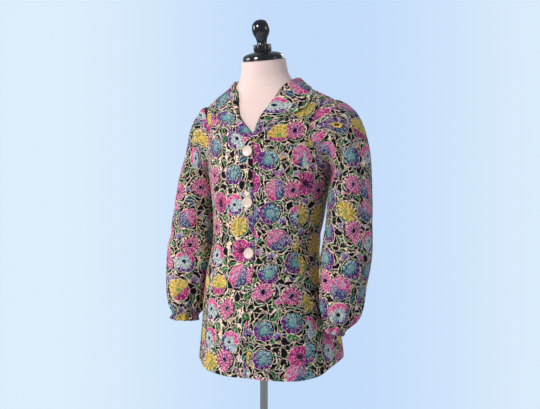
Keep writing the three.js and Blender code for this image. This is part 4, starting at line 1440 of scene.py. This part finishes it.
# Fine ribs and loops of a knitted cover, 1.1 mm apart.
def knitGroup():
    tree, given, end = newGroup("knit", {"Place": "vector"}, {"Height": "value", "Tone": "value"})
    x, y, z = parts(tree, given["Place"])
    around = y.math("ARCTAN2", y, x) * 130
    loops = (around * (2 * math.pi / 1.1)).cos() * 0.5 + (z * 1000 * (2 * math.pi / 0.9)).cos() * 0.35
    soft, _ = noise(tree, given["Place"], 9, 2, 0.5, "3D")
    plug(tree, loops, end.inputs["Height"])
    plug(tree, soft, end.inputs["Tone"])
    return tree


def makeJersey(knit):
    material, tree, shader = newMaterial("formJersey", finish["jersey"])
    made = useGroup(tree, knit, {"Place": solidMap(tree)})
    color = blend(tree, made["Tone"].ramp(0.35, 0.7), "jersey", "ivory")
    plug(tree, blend(tree, 0.35, "jersey", color), shader.inputs["Base Color"])
    bumpInto(tree, shader, made["Height"], 0.25, 0.0004)
    return material


def makeSmooth(name, color, key, wear, low, high):
    material, tree, shader = newMaterial(name, finish[key])
    made = useGroup(tree, wear, {"Place": solidMap(tree)})
    plug(tree, blend(tree, made["Dust"] * 0.06, color, "white"), shader.inputs["Base Color"])
    plug(tree, made["Cloud"] * (high - low) + low, shader.inputs["Roughness"])
    return material


# Each light: its place and aim in metres, its size, power and colour. The pale backdrop that the
# camera sees lights the subject with only a share of its brightness.
stage = {
    "radius": 2.25,
    "backdropEdge": (0.72, 0.85, 0.97, 1),
    "backdropMiddle": (0.55, 0.72, 0.96, 1),
    "ambient": 0.36,
    "lights": {
        "keyLight": ((-0.9, -2.65, 2.3), (0, 0, 1.1), 0.9, 62, (1, 0.975, 0.95)),
        "leftLight": ((-2.6, -0.9, 1.9), (0, 0, 1.1), 1.2, 24, (1, 0.98, 0.97)),
        "fillLight": ((2.5, 0.2, 1.7), (0, 0, 1.05), 1.2, 8, (1, 0.97, 0.95)),
        "rimLight": ((0.4, 2.6, 2.7), (0, 0, 1.2), 1.4, 14, (1, 0.98, 0.96)),
    },
}


def makeStage():
    material, tree, shader = newMaterial("paleFloor", finish["floor"])
    plug(tree, "floor", shader.inputs["Base Color"])
    angles = np.arange(96) * 2 * math.pi / 96
    rim = np.stack([np.cos(angles), np.sin(angles), 0 * angles], -1) * stage["radius"] / mm
    rim[:, 2] = -0.5
    floor = ringSolid("paleFloor", [rim, rim * [1, 1, 40]], material)
    world = bpy.data.worlds.new("paleStudio")
    bpy.context.scene.world = world
    world.use_nodes = True
    tree = world.node_tree
    sky = tree.nodes["Background"]
    place = tree.nodes.new("ShaderNodeTexCoord")
    x, y, _ = parts(tree, Wire(tree, place.outputs["Generated"]))
    right = x * math.cos(math.radians(25)) + y * math.sin(math.radians(25))
    away = (right - 0.05).size()
    color = blend(tree, away.ramp(0.02, 0.26), stage["backdropMiddle"], stage["backdropEdge"])
    plug(tree, color, sky.inputs["Color"])
    seen = Wire(tree, tree.nodes.new("ShaderNodeLightPath").outputs["Is Camera Ray"])
    plug(tree, seen * (1 - stage["ambient"]) + stage["ambient"], sky.inputs["Strength"])
    for name, values in stage["lights"].items():
        addLight(name, *values)


def addLight(name, place, target, size, power, color):
    light = bpy.data.lights.new(name, "AREA")
    light.shape = "DISK"
    light.size = size
    light.energy = power
    light.color = color
    lamp = bpy.data.objects.new(name, light)
    lamp.location = place
    lamp.rotation_euler = (Vector(target) - Vector(place)).to_track_quat("-Z", "Y").to_euler()
    bpy.context.scene.collection.objects.link(lamp)


camera = {
    "azimuth": 25, "distance": 2.3, "height": 1.062, "lens": 65.27, "aimRight": 0.0141, "aimUp": 0.0482,
}


def makeCamera():
    turn = math.radians(camera["azimuth"])
    data = bpy.data.cameras.new("camera")
    data.lens = camera["lens"]
    data.sensor_width = 36
    data.clip_start = 0.05
    eye = bpy.data.objects.new("camera", data)
    away = camera["distance"]
    eye.location = (away * math.sin(turn), -away * math.cos(turn), camera["height"])
    right = Vector((math.cos(turn), math.sin(turn), 0))
    target = Vector((0, 0, camera["height"] + camera["aimUp"])) + right * camera["aimRight"]
    eye.rotation_euler = (target - Vector(eye.location)).to_track_quat("-Z", "Y").to_euler()
    bpy.context.scene.collection.objects.link(eye)
    bpy.context.scene.camera = eye


makeCamera()
print("camera set at the photograph's angle")
wear = wearGroup()
clothSides = makeCloth()
print("print cloth painted")
makeForm(makeJersey(knitGroup()))
print("dress form covered")
makeBody(clothSides)
print("fronts, sides and back cut")
makeSleeve("blazerSleeveLeft", "sleeve_left", sleeveLook["left"], (1600, 40), clothSides)
makeSleeve("blazerSleeveRight", "sleeve_right", sleeveLook["right"], (2100, 15), clothSides)
print("sleeves gathered")
makeCollar(clothSides)
print("collar turned over")
gloss = makeSmooth("blackGloss", "gloss", "gloss", wear, 0.1, 0.2)
makeNeckParts(gloss)
makeButtons(makeSmooth("ivoryButton", "ivory", "ivory", wear, 0.22, 0.34))
# The pole's chrome has a warm painted reflection in its colour.
makeStand(
    makeSmooth("poleChrome", "chromePaintedReflection", "chromePaintedReflection", wear, 0.08, 0.16),
    makeSmooth("baseEnamel", "enamel", "enamel", wear, 0.3, 0.45))
print("neck parts, buttons, pole and base turned")
makeStage()
bpy.context.scene.view_settings.view_transform = "Standard"
